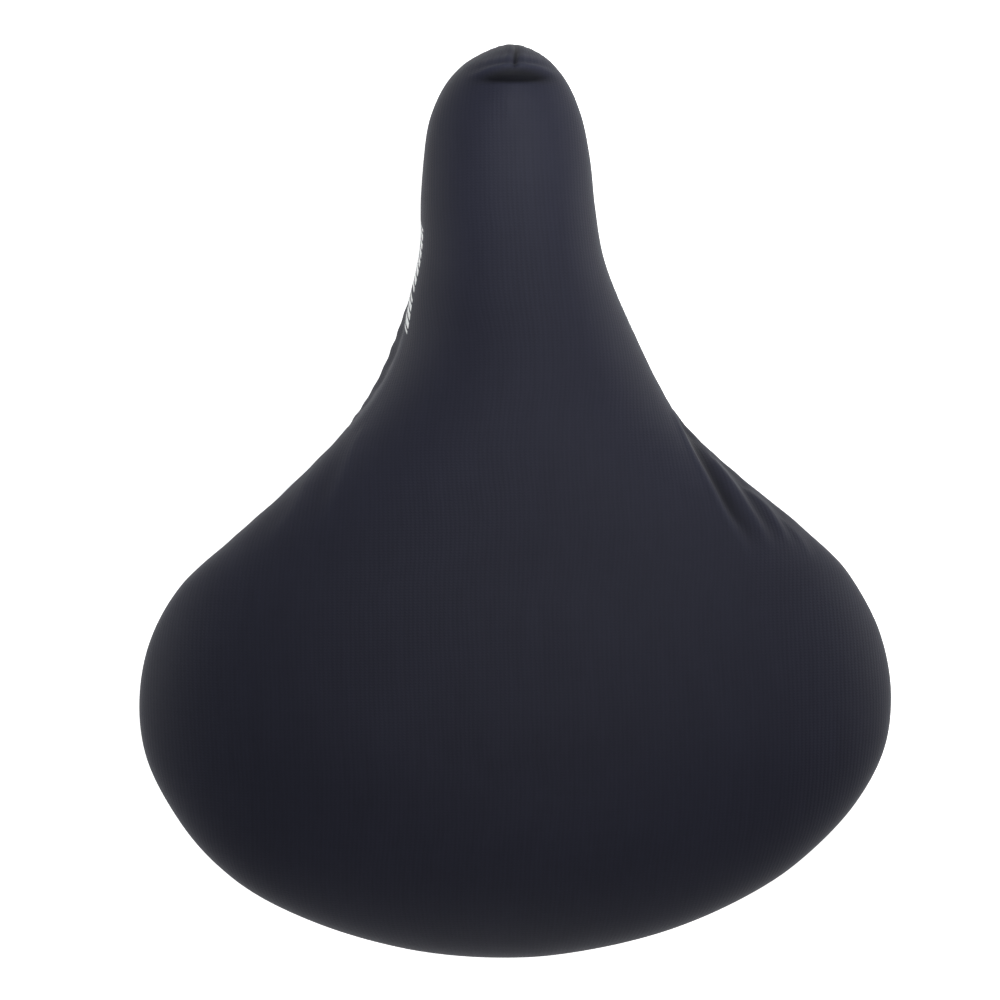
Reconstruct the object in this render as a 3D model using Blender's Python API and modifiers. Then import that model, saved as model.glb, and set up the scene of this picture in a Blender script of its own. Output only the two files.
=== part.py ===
# Wide comfort bicycle saddle on twin rear coil springs, with a seatpost clamp.
#
# Units are metres. +Y points to the nose, +X to the rider's right, +Z up.
# The origin is on the seatpost's axis, at the lower mouth of the clamp's socket.
import math

import bmesh
import bpy
from mathutils import Matrix, Vector

MM = 0.001

# ---------------------------------------------------------------- dimensions (mm)
GAP = 0.3                 # between pieces that touch
COVER_T = 0.9             # stretch cover
HEM = 5.5                 # how far the cover is turned up inside the rim
FOAM_EDGE = 3.0           # foam left over the base's rim
BASE_T = 3.0              # moulded base wall
BASE_CORNER = 5.0         # outer radius of the base's shoulder
STATIONS = 27             # sections round half of the outline
CROWN_STEPS = 6           # steps from the spine to the widest line
LIFT = 6.0                # the whole top, over the heights in the tables below

# Half of the outline, from the tail's centre round the right wing to the nose.
# x, y: plan outline; s: where its section leaves the centre line;
# e: height of the widest line; i: how far the rim is tucked in; r: height of the rim
OUTLINE = [
    # x      y       s      e     i     r
    (0.0, -135.0, -78.0, 73.0, 8.0, 56.0),
    (29.0, -132.5, -77.0, 73.0, 8.0, 55.5),
    (60.0, -123.0, -74.0, 72.0, 8.0, 54.0),
    (84.0, -109.5, -70.0, 71.0, 8.0, 52.0),
    (101.0, -92.0, -65.0, 70.0, 7.5, 50.5),
    (111.0, -72.0, -58.0, 69.5, 7.0, 49.5),
    (112.4, -56.0, -50.0, 69.5, 6.5, 49.0),
    (109.4, -40.0, -41.0, 69.5, 6.0, 49.5),
    (100.3, -23.0, -30.0, 69.5, 4.8, 50.0),
    (84.6, -8.0, -18.0, 69.0, 3.0, 51.0),
    (66.0, 8.0, -3.0, 67.5, 1.6, 52.0),
    (52.0, 21.5, 12.0, 66.0, 0.8, 53.0),
    (40.8, 37.0, 29.0, 65.5, 0.3, 54.0),
    (32.6, 55.0, 48.0, 67.0, 0.0, 55.0),
    (27.2, 72.0, 66.0, 70.5, 0.2, 56.0),
    (25.7, 88.0, 82.0, 74.0, 0.6, 56.5),
    (24.8, 103.0, 95.0, 76.0, 1.2, 57.0),
    (21.8, 117.0, 105.0, 76.0, 2.6, 57.0),
    (16.5, 128.0, 111.0, 75.0, 4.0, 57.0),
    (9.0, 134.5, 114.0, 74.0, 5.0, 57.0),
    (0.0, 137.0, 115.0, 73.5, 5.5, 57.0),
]

# Height of the cover and of the base along the centre line: (y, z)
CROWN = [(-78.0, 103.0), (-45.0, 101.0), (-10.0, 97.5), (30.0, 95.5), (70.0, 97.0), (95.0, 97.5), (115.0, 96.5)]
BASE_TOP = [(-78.0, 80.0), (-45.0, 78.0), (-10.0, 73.0), (30.0, 70.5), (70.0, 70.0), (115.0, 69.5)]

# Rails: one 7 mm wire, 44 mm between centres where the clamp holds it
RAIL_R = 3.5
RAIL_X = 22.0
RAIL_Z = 23.8
PIVOT_Y = 106.0           # transverse front run of the wire, which the nose turns on
PIVOT_Z = 53.0

# Rear springs
SPRING_X = 46.0
SPRING_Y = -92.0
SPRING_WIRE = 4.0
SPRING_OD = 34.0
PADDLE_Z = 16.0           # underside of the rail's flattened ends
PADDLE_T = 4.0
CUP_T = 1.6
SPRING_BOTTOM = PADDLE_Z + PADDLE_T + GAP + CUP_T + GAP
SPRING_TOP = 66.0
BOSS_BOTTOM = SPRING_TOP + GAP + CUP_T + GAP

# Seatpost clamp for a 22.2 mm post
POST_R = 11.2
STRAP_T = 2.8
STRAP_H = 28.0
BOLT_Y = -20.0
BOLT_Z = 14.0
BOLT_R = 4.0
STRAP_IN = POST_R + 0.1
STRAP_OUT = STRAP_IN + STRAP_T


# ---------------------------------------------------------------- scene set-up
for old in list(bpy.data.objects):
    bpy.data.objects.remove(old, do_unlink=True)

saddle = bpy.data.collections.new("bicycle_saddle")
bpy.context.scene.collection.children.link(saddle)
cutters = bpy.data.collections.new("cutters")
bpy.context.scene.collection.children.link(cutters)


def material(name, colour, roughness, metallic=0.0):
    m = bpy.data.materials.new(name)
    m.use_nodes = True
    bsdf = m.node_tree.nodes["Principled BSDF"]
    bsdf.inputs["Base Color"].default_value = (*colour, 1.0)
    bsdf.inputs["Roughness"].default_value = roughness
    bsdf.inputs["Metallic"].default_value = metallic
    m.diffuse_color = (*colour, 1.0)
    return m


LYCRA = material("stretch_fabric", (0.024, 0.025, 0.036), 0.75)
FOAM = material("foam", (0.55, 0.52, 0.45), 0.9)
PLASTIC = material("black_plastic", (0.018, 0.018, 0.019), 0.5)
STEEL_BLACK = material("black_steel", (0.02, 0.02, 0.022), 0.35, 0.9)
SPRING_STEEL = material("spring_steel", (0.03, 0.03, 0.033), 0.3, 0.9)
ZINC = material("zinc_steel", (0.62, 0.62, 0.6), 0.32, 1.0)


def put(obj, mat, collection=saddle):
    """Moves an object into a collection and gives it its material."""
    for c in list(obj.users_collection):
        c.objects.unlink(obj)
    collection.objects.link(obj)
    if mat is not None:
        obj.data.materials.clear()
        obj.data.materials.append(mat)
    if collection is cutters:
        obj.hide_render = True
        obj.display_type = "WIRE"
    return obj


def new_mesh_object(name, mesh, mat, collection=saddle):
    obj = bpy.data.objects.new(name, mesh)
    saddle.objects.link(obj)
    return put(obj, mat, collection)


def smooth(obj, angle=35.0):
    obj.data.shade_smooth()
    obj.data.set_sharp_from_angle(angle=math.radians(angle))
    return obj


# ---------------------------------------------------------------- curve helpers
def through(rows, at, even=None):
    """Reads a table of numbers at positions `at` (0 to 1 along the table's own chord length) with a
    cubic through every row. The table is reflected at both ends: column 0 flips its sign, the others don't."""
    n = len(rows)
    know = [0.0]
    for a, b in zip(rows, rows[1:]):
        know.append(know[-1] + math.hypot(b[0] - a[0], b[1] - a[1]))
    mirrored = lambda row: [-row[0]] + list(row[1:])
    full = [mirrored(rows[1])] + [list(r) for r in rows] + [mirrored(rows[-2])]
    ks = [-know[1]] + know + [2 * know[-1] - know[-2]]
    slopes = []
    for j in range(1, n + 1):
        h0, h1 = ks[j] - ks[j - 1], ks[j + 1] - ks[j]
        slopes.append(
            [
                ((c - b) / h1 * h0 + (b - a) / h0 * h1) / (h0 + h1)
                for a, b, c in zip(full[j - 1], full[j], full[j + 1])
            ]
        )
    out = []
    for t in at:
        k = min(max(t, 0.0), 1.0) * know[-1]
        j = max(i for i in range(n - 1) if know[i] <= k + 1e-12)
        h = know[j + 1] - know[j]
        u = (k - know[j]) / h
        a, b, ma, mb = rows[j], rows[j + 1], slopes[j], slopes[j + 1]
        out.append(
            [
                (2 * u**3 - 3 * u**2 + 1) * a[c]
                + (u**3 - 2 * u**2 + u) * h * ma[c]
                + (3 * u**2 - 2 * u**3) * b[c]
                + (u**3 - u**2) * h * mb[c]
                for c in range(len(a))
            ]
        )
    return out


def height(table, y):
    """A smooth height along the centre line, flat beyond the table's ends."""
    if y <= table[0][0]:
        return table[0][1]
    if y >= table[-1][0]:
        return table[-1][1]
    n = len(table)
    slope = [0.0] * n
    for j in range(1, n - 1):
        slope[j] = (table[j + 1][1] - table[j - 1][1]) / (table[j + 1][0] - table[j - 1][0])
    for j in range(n - 1):
        (y0, z0), (y1, z1) = table[j], table[j + 1]
        if y0 <= y <= y1:
            h, u = y1 - y0, (y - y0) / (y1 - y0)
            return (
                (2 * u**3 - 3 * u**2 + 1) * z0
                + (u**3 - 2 * u**2 + u) * h * slope[j]
                + (3 * u**2 - 2 * u**3) * z1
                + (u**3 - u**2) * h * slope[j + 1]
            )


def offset(path, distance):
    """Moves a (r, z) path inwards, towards the body of the saddle. Its first point stays on the centre line."""
    out = []
    for j, (r, z) in enumerate(path):
        r0, z0 = path[max(j - 1, 0)]
        r1, z1 = path[min(j + 1, len(path) - 1)]
        dr, dz = r1 - r0, z1 - z0
        size = math.hypot(dr, dz)
        nr, nz = dz / size, -dr / size
        out.append((0.0, z - distance) if j == 0 else (r + distance * nr, z + distance * nz))
    return out


# ---------------------------------------------------------------- the saddle's sections
class Section:
    """One upright slice of the saddle's top, from its centre line out to a point on the outline."""

    def __init__(self, x, y, s, edge_z, inset, rim_z):
        self.foot = Vector((0.0, s))
        way = Vector((x, y)) - self.foot
        self.R = way.length
        self.way = way / self.R
        self.edge_z, self.inset, self.rim_z = edge_z + LIFT, inset, rim_z + LIFT
        self.rim_r = self.R - inset
        self.wide = min(max((self.R - 26.0) / 60.0, 0.0), 1.0)

    def at(self, r, z):
        p = self.foot + self.way * r
        return Vector((max(p.x, 0.0) * MM, p.y * MM, z * MM))

    def crown(self):
        """The cover's outside: over the crown, round the shoulder and down to the rim's turn."""
        path = []
        power_r, power_z = 0.86 - 0.10 * self.wide, 0.92
        for j in range(CROWN_STEPS + 1):
            a = math.pi / 2 * j / CROWN_STEPS
            r = self.R * math.sin(a) ** power_r if j else 0.0
            y = self.foot.y + self.way.y * r
            share = max(math.cos(a), 0.0) ** power_z if j < CROWN_STEPS else 0.0
            path.append((r, self.edge_z + (height(CROWN, y) + LIFT - self.edge_z) * share))
        low = self.rim_z + 5.0
        drop = self.edge_z - low
        p0, p1 = (self.R, self.edge_z), (self.R, self.edge_z - 0.45 * drop)
        p2, p3 = (self.rim_r + 0.35 * self.inset, low + 0.35 * drop), (self.rim_r, low)
        for j in (1, 2, 3):
            u = j / 3
            path.append(
                tuple(
                    (1 - u) ** 3 * a + 3 * u * (1 - u) ** 2 * b + 3 * u * u * (1 - u) * c + u**3 * d
                    for a, b, c, d in zip(p0, p1, p2, p3)
                )
            )
        return path

    def base(self):
        """The moulded base's upper side: a shallow upturned dish, a rounded shoulder and an upright rim."""
        out = self.rim_r - COVER_T - GAP - FOAM_EDGE - GAP
        top_r, knee = out - BASE_CORNER, self.rim_z + 11.0 + 7.0 * self.wide
        path = []
        for j in range(CROWN_STEPS):
            u = math.sin(math.pi / 2 * j / (CROWN_STEPS - 1))
            y = self.foot.y + self.way.y * top_r * u
            share = 0.5 + 0.5 * math.cos(math.pi * u)
            path.append((top_r * u, knee + (height(BASE_TOP, y) + LIFT - knee) * share))
        for a in (45.0, 90.0):
            a = math.radians(a)
            path.append((top_r + BASE_CORNER * math.sin(a), knee - BASE_CORNER + BASE_CORNER * math.cos(a)))
        path.append((out, self.rim_z))
        return path

    def base_under(self):
        under = offset(self.base(), BASE_T)
        r = self.base()[-1][0] - BASE_T
        under[-2], under[-1] = (r, under[-2][1]), (r, self.rim_z)
        return under

    def cover_profile(self):
        """Round the closed edge of the cover: outside, under the rim, up inside it, and back."""
        outer, inner_rim = self.crown(), self.base_under()
        z, r = self.rim_z, self.rim_r
        hem_r = inner_rim[-1][0]
        outside = outer + [(r - 1.0, z + 1.2), (r - 3.6, z - 1.2), (hem_r, z - 1.2), (hem_r - 1.2, z)]
        inside = [(hem_r - 0.3, z), (hem_r, z - 0.3), (r - 3.9, z - 0.3), (r - 1.75, z + 1.7)]
        return outside + self.hem(1.2), self.hem(0.3)[::-1] + inside + offset(outer, COVER_T)[::-1]

    def hem(self, away):
        """The strip of the cover glued up inside the rim, `away` from the base."""
        r = self.base_under()[-1][0] - away
        return [(r, self.rim_z + 2.0), (r, self.rim_z + HEM)]

    def foam_profile(self):
        z, r = self.rim_z, self.rim_r - COVER_T - GAP
        top = offset(self.crown(), COVER_T + GAP)
        side = [(r - 0.9, z + 2.2), (r - 2.4, z + 0.3)]
        below = offset(self.base(), -2 * GAP)
        below[-1] = (below[-2][0], z + 0.3)
        return top + side, below[::-1]


def sections():
    """The sections, closer together round the nose and the wing's corner."""
    steps = [1.0 - 0.62 * min(max(((j + 0.5) / STATIONS - 0.74) / 0.1, 0.0), 1.0) for j in range(STATIONS)]
    at = [sum(steps[:j]) / sum(steps) for j in range(STATIONS + 1)]
    return [Section(*row) for row in through(OUTLINE, at)]


def half_loft(name, profiles, mat):
    """Joins the sections' profiles into the right half of a closed body and mirrors it. A profile starts
    and may end on the centre line, where the two halves meet."""
    mesh = bpy.data.meshes.new(name)
    bm = bmesh.new()
    rows = [[bm.verts.new(p) for p in points] for points in profiles]
    for a, b in zip(rows, rows[1:]):
        for j in range(len(a) - 1):
            bm.faces.new((a[j], a[j + 1], b[j + 1], b[j]))
    bmesh.ops.remove_doubles(bm, verts=bm.verts, dist=1e-6)
    bm.normal_update()
    bm.to_mesh(mesh)
    bm.free()
    obj = new_mesh_object(name, mesh, mat)
    mirror = obj.modifiers.new("both_sides", "MIRROR")
    mirror.use_axis[0] = True
    mirror.merge_threshold = 0.00005
    mirror.use_clip = True
    return smooth(obj, 50)


def applied(obj):
    """Replaces an object's modifiers by their result."""
    graph = bpy.context.evaluated_depsgraph_get()
    mesh = bpy.data.meshes.new_from_object(obj.evaluated_get(graph))
    obj.modifiers.clear()
    obj.data = mesh
    return obj


# ---------------------------------------------------------------- solids from simple tools
def box(name, lo, hi, mat, collection=saddle, bevel=0.0):
    bpy.ops.mesh.primitive_cube_add(size=1.0)
    obj = bpy.context.object
    obj.name = name
    size = [(b - a) * MM for a, b in zip(lo, hi)]
    obj.data.transform(Matrix.Diagonal((*size, 1.0)))
    obj.location = [(a + b) / 2 * MM for a, b in zip(lo, hi)]
    if bevel:
        mod = obj.modifiers.new("edges", "BEVEL")
        mod.width, mod.segments = bevel * MM, 1
    return put(obj, mat, collection)


def rod(name, a, b, radius, mat, collection=saddle, sides=16):
    """A cylinder between two points."""
    a, b = Vector(a) * MM, Vector(b) * MM
    bpy.ops.mesh.primitive_cylinder_add(vertices=sides, radius=radius * MM, depth=(b - a).length)
    obj = bpy.context.object
    obj.name = name
    turn = (b - a).to_track_quat("Z", "Y").to_matrix().to_4x4()
    obj.data.transform(turn)
    obj.location = (a + b) / 2
    return put(obj, mat, collection)


def turned(name, profile, place, mat, axis="Z", sides=20, collection=saddle):
    """A turned piece: a closed (radius, height) profile, outer side first from top to bottom, on a Screw
    modifier. `place` is where its own (0, 0) goes, and `axis` is what its height runs along."""
    mesh = bpy.data.meshes.new(name)
    points = [(r * MM, 0.0, z * MM) for r, z in profile]
    loop = profile[0][0] > 1e-9  # a piece without a bore starts and ends on its axis instead
    edges = [(j, j + 1) for j in range(len(points) - 1)] + ([(len(points) - 1, 0)] if loop else [])
    mesh.from_pydata(points, edges, [])
    obj = new_mesh_object(name, mesh, mat, collection)
    screw = obj.modifiers.new("turn", "SCREW")
    screw.axis = "Z"
    screw.steps = screw.render_steps = sides
    screw.use_merge_vertices = True
    screw.merge_threshold = 0.00001
    screw.use_smooth_shade = True
    applied(obj)
    turn = {"Z": Matrix.Identity(4), "X": Matrix.Rotation(math.pi / 2, 4, "Y")}[axis]
    obj.data.transform(turn)
    obj.location = Vector(place) * MM
    return obj


def plate(name, outline, thickness, place, mat, axis="Z", collection=saddle, holes=()):
    """A flat plate: a 2D outline, with holes, extruded about its own plane. On axis X the outline's
    (u, v) are (y, z)."""
    curve = bpy.data.curves.new(name, "CURVE")
    curve.dimensions, curve.fill_mode = "2D", "BOTH"
    curve.extrude = thickness / 2 * MM
    for ring in [outline, *holes]:
        spline = curve.splines.new("POLY")
        spline.points.add(len(ring) - 1)
        for point, (u, v) in zip(spline.points, ring):
            point.co = (u * MM, v * MM, 0.0, 1.0)
        spline.use_cyclic_u = True
    raw = bpy.data.objects.new(name + "_outline", curve)
    saddle.objects.link(raw)
    obj = meshed(raw, name, mat, collection)
    if axis == "X":
        obj.data.transform(Matrix(((0, 0, 1, 0), (1, 0, 0, 0), (0, 1, 0, 0), (0, 0, 0, 1))))
    obj.location = Vector(place) * MM
    return obj


def meshed(curve_obj, name, mat, collection=saddle):
    """Turns a curve object into a welded mesh object."""
    graph = bpy.context.evaluated_depsgraph_get()
    mesh = bpy.data.meshes.new_from_object(curve_obj.evaluated_get(graph))
    bm = bmesh.new()
    bm.from_mesh(mesh)
    bmesh.ops.remove_doubles(bm, verts=bm.verts, dist=1e-6)
    bmesh.ops.recalc_face_normals(bm, faces=bm.faces)
    bm.to_mesh(mesh)
    bm.free()
    place = curve_obj.matrix_world.copy()
    bpy.data.objects.remove(curve_obj, do_unlink=True)
    obj = new_mesh_object(name, mesh, mat, collection)
    obj.matrix_world = place
    return obj


def tube(name, points, radius, mat, resolution=2, collection=saddle, cyclic=False):
    """A round wire through points, as a curve with filled caps, made into a mesh."""
    curve = bpy.data.curves.new(name, "CURVE")
    curve.dimensions = "3D"
    curve.bevel_depth, curve.bevel_resolution = radius * MM, resolution
    curve.use_fill_caps = not cyclic
    curve.twist_mode = "MINIMUM"
    spline = curve.splines.new("POLY")
    spline.points.add(len(points) - 1)
    for point, co in zip(spline.points, points):
        point.co = (*(c * MM for c in co), 1.0)
    spline.use_cyclic_u = cyclic
    raw = bpy.data.objects.new(name + "_line", curve)
    saddle.objects.link(raw)
    return smooth(meshed(raw, name, mat, collection), 50)


def boolean(obj, other, how):
    mod = obj.modifiers.new(how.lower(), "BOOLEAN")
    mod.operation, mod.solver, mod.object = how, "EXACT", other
    applied(obj)
    bpy.data.objects.remove(other, do_unlink=True)
    return obj


def mirrored(obj, name):
    """The same piece for the left side."""
    mesh = obj.data.copy()
    mesh.transform(obj.matrix_world)
    mesh.transform(Matrix.Diagonal((-1.0, 1.0, 1.0, 1.0)))
    mesh.flip_normals()
    return new_mesh_object(name, mesh, None)


def circle(cu, cv, r, n, start=0.0, turn=360.0):
    full = abs(turn) >= 360.0
    steps = n if full else n - 1
    return [
        (cu + r * math.cos(math.radians(start + turn * j / steps)), cv + r * math.sin(math.radians(start + turn * j / steps)))
        for j in range(n)
    ]


def rounded_line(corners, n=7):
    """A polyline whose inner corners are replaced by arcs. corners: (point, bend radius)."""
    out = [Vector(corners[0][0])]
    for (a, _), (b, radius), (c, _) in zip(corners, corners[1:], corners[2:]):
        a, b, c = Vector(a), Vector(b), Vector(c)
        u, v = (a - b).normalized(), (c - b).normalized()
        half = u.angle(v) / 2
        back = radius / math.tan(half)
        centre = b + (u + v).normalized() * (radius / math.sin(half))
        start, end = b + u * back - centre, b + v * back - centre
        whole = start.angle(end)
        for j in range(n):
            w = j / (n - 1)
            out.append(centre + (start * math.sin((1 - w) * whole) + end * math.sin(w * whole)) / math.sin(whole))
    out.append(Vector(corners[-1][0]))
    return out


def resampled(points, spacing):
    """Splits the straight runs so that no two points are further apart than spacing."""
    out = [points[0]]
    for a, b in zip(points, points[1:]):
        n = max(1, math.ceil((b - a).length / spacing))
        out += [a.lerp(b, (j + 1) / n) for j in range(n)]
    return out


# ================================================================ saddle top
SECTIONS = sections()

cover_rows, foam_rows, base_rows = [], [], []
for section in SECTIONS:
    outside, inside = section.cover_profile()
    cover_rows.append([section.at(*p) for p in outside + inside])
    top, below = section.foam_profile()
    foam_rows.append([section.at(*p) for p in top + below])
    base_rows.append([section.at(*p) for p in section.base() + section.base_under()[::-1]])
for rows in (cover_rows, foam_rows, base_rows):  # the tail's and the nose's centre lines
    for row in (rows[0], rows[-1]):
        for p in row:
            p.x = 0.0

cover = half_loft("cover", cover_rows, LYCRA)
foam = half_loft("foam_pad", foam_rows, FOAM)
base = applied(half_loft("base_shell", base_rows, PLASTIC))

# spring bosses and the nose block are moulded with the base, and end inside its wall
def under_the_top():
    """A solid that fills the base up to the middle of its wall."""
    rows = []
    for section in SECTIONS:
        middle = offset(section.base(), BASE_T / 2)
        rows.append([section.at(*p) for p in middle + [(middle[-1][0], 20.0), (0.0, 20.0)]])
    for row in (rows[0], rows[-1]):
        for p in row:
            p.x = 0.0
    return put(applied(half_loft("filling", rows, PLASTIC)), None, cutters)


for side in (1, -1):
    boss = rod("boss", (side * SPRING_X, SPRING_Y, BOSS_BOTTOM), (side * SPRING_X, SPRING_Y, 95.0), 13.0, PLASTIC, sides=24)
    boolean(boss, under_the_top(), "INTERSECT")
    boolean(base, boss, "UNION")
nose_block = box("nose_block", (-8.0, PIVOT_Y - 12.0, PIVOT_Z + 0.3), (8.0, PIVOT_Y + 12.0, 95.0), PLASTIC)
boolean(nose_block, under_the_top(), "INTERSECT")
boolean(base, nose_block, "UNION")

# the nose turns on the wire: half of its bearing is in the base's block, half in the cap below
BEARING_R = RAIL_R + 0.3
groove = rod("groove", (-30, PIVOT_Y, PIVOT_Z), (30, PIVOT_Y, PIVOT_Z), BEARING_R, None, cutters, sides=20)
boolean(base, groove, "DIFFERENCE")
nose_cap = box("nose_cap", (-8.0, PIVOT_Y - 12.0, PIVOT_Z - 6.0), (8.0, PIVOT_Y + 12.0, PIVOT_Z - 0.3), STEEL_BLACK)
groove = rod("groove", (-30, PIVOT_Y, PIVOT_Z), (30, PIVOT_Y, PIVOT_Z), BEARING_R, None, cutters, sides=20)
boolean(nose_cap, groove, "DIFFERENCE")

# nose screws: M4, one before and one behind the wire
SCREW_R = 2.0
for label, y in (("rear", PIVOT_Y - 7.0), ("front", PIVOT_Y + 7.0)):
    for owner in (base, nose_cap):
        hole = rod("hole", (0, y, 30), (0, y, PIVOT_Z + 9.5), SCREW_R + GAP, None, cutters, sides=16)
        boolean(owner, hole, "DIFFERENCE")
    low = PIVOT_Z - 6.0 - GAP
    turned(
        "nose_screw_" + label,
        [(0.0, PIVOT_Z + 8.5), (SCREW_R, PIVOT_Z + 8.5), (SCREW_R, low), (3.6, low), (3.6, low - 1.4), (2.6, low - 2.4), (0.0, low - 2.4)],
        (0, y, 0),
        ZINC,
        sides=14,
    )

# spring screws, cups and the nuts moulded into the bosses
CUP_R, CUP_LIP, HOLE_R = SPRING_OD / 2 + 2.2, 4.0, 3.3
NUT_R, NUT_H = 5.6, 5.0
for side, label in ((1, "right"), (-1, "left")):
    x, y = side * SPRING_X, SPRING_Y
    # the boss is drilled through, with a pocket on top for the nut
    hole = rod("hole", (x, y, 60), (x, y, 90), HOLE_R, None, cutters, sides=16)
    boolean(base, hole, "DIFFERENCE")
    pocket_z = BOSS_BOTTOM + 2.6
    pocket = rod("pocket", (x, y, pocket_z), (x, y, 90), NUT_R + GAP + 0.1, None, cutters, sides=6)
    boolean(base, pocket, "DIFFERENCE")

# ---------------------------------------------------------------- coil springs
def coil(x, y, bottom, top, hand):
    """A spring's centre line: a closed turn at each end, open turns between."""
    turns, per_turn = 4.6, 15
    r = (SPRING_OD - SPRING_WIRE) / 2
    low, high = bottom + SPRING_WIRE / 2, top - SPRING_WIRE / 2
    n = int(turns * per_turn)
    points = []
    flat = 0.75 / turns
    closed_rise = 0.75 * (SPRING_WIRE + 0.5)
    for j in range(n + 1):
        u = j / n
        a = math.radians(-90.0 + 360.0 * turns * u) * hand
        if u < flat:
            z = low + closed_rise * (u / flat) ** 1.6
        elif u > 1 - flat:
            z = high - closed_rise * ((1 - u) / flat) ** 1.6
        else:
            v = (u - flat) / (1 - 2 * flat)
            z = low + closed_rise + (high - low - 2 * closed_rise) * v
        points.append((x + r * math.cos(a), y + r * math.sin(a), z))
    return points


for side, label in ((1, "right"), (-1, "left")):
    x, y = side * SPRING_X, SPRING_Y
    tube("coil_spring_" + label, coil(x, y, SPRING_BOTTOM, SPRING_TOP, side), SPRING_WIRE / 2, SPRING_STEEL, resolution=2)
    # upper cup: a dish with its lip down round the spring's last turn
    z = BOSS_BOTTOM - GAP
    turned(
        "upper_spring_cup_" + label,
        [
            (CUP_R - 2.0, z), (CUP_R, z - 2.0), (CUP_R, z - CUP_LIP - CUP_T), (CUP_R - CUP_T, z - CUP_LIP - CUP_T),
            (CUP_R - CUP_T, z - 2.6), (CUP_R - 2.6, z - CUP_T), (HOLE_R, z - CUP_T), (HOLE_R, z),
        ],
        (x, y, 0),
        STEEL_BLACK,
    )
    # lower cup: the same dish the other way up
    z = PADDLE_Z + PADDLE_T + GAP
    turned(
        "lower_spring_cup_" + label,
        [
            (CUP_R - CUP_T, z + CUP_LIP + CUP_T), (CUP_R, z + CUP_LIP + CUP_T), (CUP_R, z + 2.0), (CUP_R - 2.0, z), (HOLE_R, z), (HOLE_R, z + CUP_T),
            (CUP_R - 2.6, z + CUP_T), (CUP_R - CUP_T, z + 2.6),
        ],
        (x, y, 0),
        STEEL_BLACK,
    )
    # upper bolt: hex head below the cup, shank up through the boss to its nut
    z = BOSS_BOTTOM - GAP - CUP_T - GAP
    bolt = rod("upper_spring_bolt_" + label, (x, y, z - 4.0), (x, y, z), 5.6, ZINC, sides=6)
    shank = rod("shank", (x, y, z - 1.0), (x, y, pocket_z + GAP + NUT_H + 0.6), 3.0, ZINC, sides=14)
    boolean(bolt, shank, "UNION")
    nut = rod("upper_spring_nut_" + label, (x, y, pocket_z + GAP), (x, y, pocket_z + GAP + NUT_H), NUT_R, ZINC, sides=6)
    hole = rod("hole", (x, y, 60), (x, y, 90), HOLE_R, None, cutters, sides=14)
    boolean(nut, hole, "DIFFERENCE")
    # lower bolt: head below the rail's end, nut inside the spring
    z = PADDLE_Z - GAP
    bolt = rod("lower_spring_bolt_" + label, (x, y, z - 4.0), (x, y, z), 5.6, ZINC, sides=6)
    shank = rod("shank", (x, y, z - 1.0), (x, y, PADDLE_Z + 14.0), 3.0, ZINC, sides=14)
    boolean(bolt, shank, "UNION")
    z = PADDLE_Z + PADDLE_T + GAP + CUP_T + GAP
    nut = rod("lower_spring_nut_" + label, (x, y, z), (x, y, z + NUT_H), NUT_R, ZINC, sides=6)
    hole = rod("hole", (x, y, 0), (x, y, 60), HOLE_R, None, cutters, sides=14)
    boolean(nut, hole, "DIFFERENCE")

# ================================================================ rails
to_front = (Vector((RAIL_X, -59.0)) - Vector((SPRING_X, SPRING_Y))).normalized()
end = Vector((SPRING_X, SPRING_Y)) + to_front * 11.0
level = Vector((SPRING_X, SPRING_Y)) + to_front * 24.0
LOW_Z = PADDLE_Z + PADDLE_T - RAIL_R   # the wire's top is level with the flattened end's
half = rounded_line(
    [
        ((end.x, end.y, LOW_Z), 0),
        ((level.x, level.y, LOW_Z), 14.0),
        ((RAIL_X, -59.0, RAIL_Z), 14.0),
        ((RAIL_X, 22.0, RAIL_Z), 30.0),
        ((14.5, PIVOT_Y, PIVOT_Z), 6.5),
        ((0.0, PIVOT_Y, PIVOT_Z), 0),
    ],
    n=5,
)
half = resampled(half, 25.0)
line = half + [Vector((-p.x, p.y, p.z)) for p in reversed(half[:-1])]
rails = tube("rail_frame", [tuple(p) for p in line], RAIL_R, STEEL_BLACK, resolution=3)
aim = math.degrees(math.atan2(to_front.y, to_front.x))
spoon = circle(SPRING_X, SPRING_Y, 10.5, 17, aim + 62.0, 236.0)
tip = Vector((SPRING_X, SPRING_Y)) + to_front * 21.0
across = Vector((-to_front.y, to_front.x)) * 2.6
spoon += [tuple(tip - across), tuple(tip + across)]
for side in (1, -1):
    ring = [(side * u, v) for u, v in spoon]
    paddle = plate("paddle", ring, PADDLE_T, (0, 0, PADDLE_Z + PADDLE_T / 2), STEEL_BLACK)
    boolean(rails, paddle, "UNION")
for side in (1, -1):
    x, y = side * SPRING_X, SPRING_Y
    hole = rod("hole", (x, y, 0), (x, y, 40), HOLE_R, None, cutters, sides=16)
    boolean(rails, hole, "DIFFERENCE")

# ================================================================ seatpost clamp
# strap: a steel strip bent round the front of the post, with two round-ended legs back to the bolt
strap_out = circle(0, 0, STRAP_OUT, 13, 0, 180) + [(-STRAP_OUT, BOLT_Y - 15.0)]
strap_in = circle(0, 0, STRAP_IN, 13, 180, -180)
ring = (
    [(STRAP_OUT, BOLT_Y - 15.0)]
    + circle(0, 0, STRAP_OUT, 13, 0, 180)
    + [(-STRAP_OUT, BOLT_Y - 15.0), (-STRAP_IN, BOLT_Y - 15.0)]
    + circle(0, 0, STRAP_IN, 13, 180, -180)
    + [(STRAP_IN, BOLT_Y - 15.0)]
)
strap = plate("clamp_strap", ring, STRAP_H, (0, 0, STRAP_H / 2), ZINC)
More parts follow.
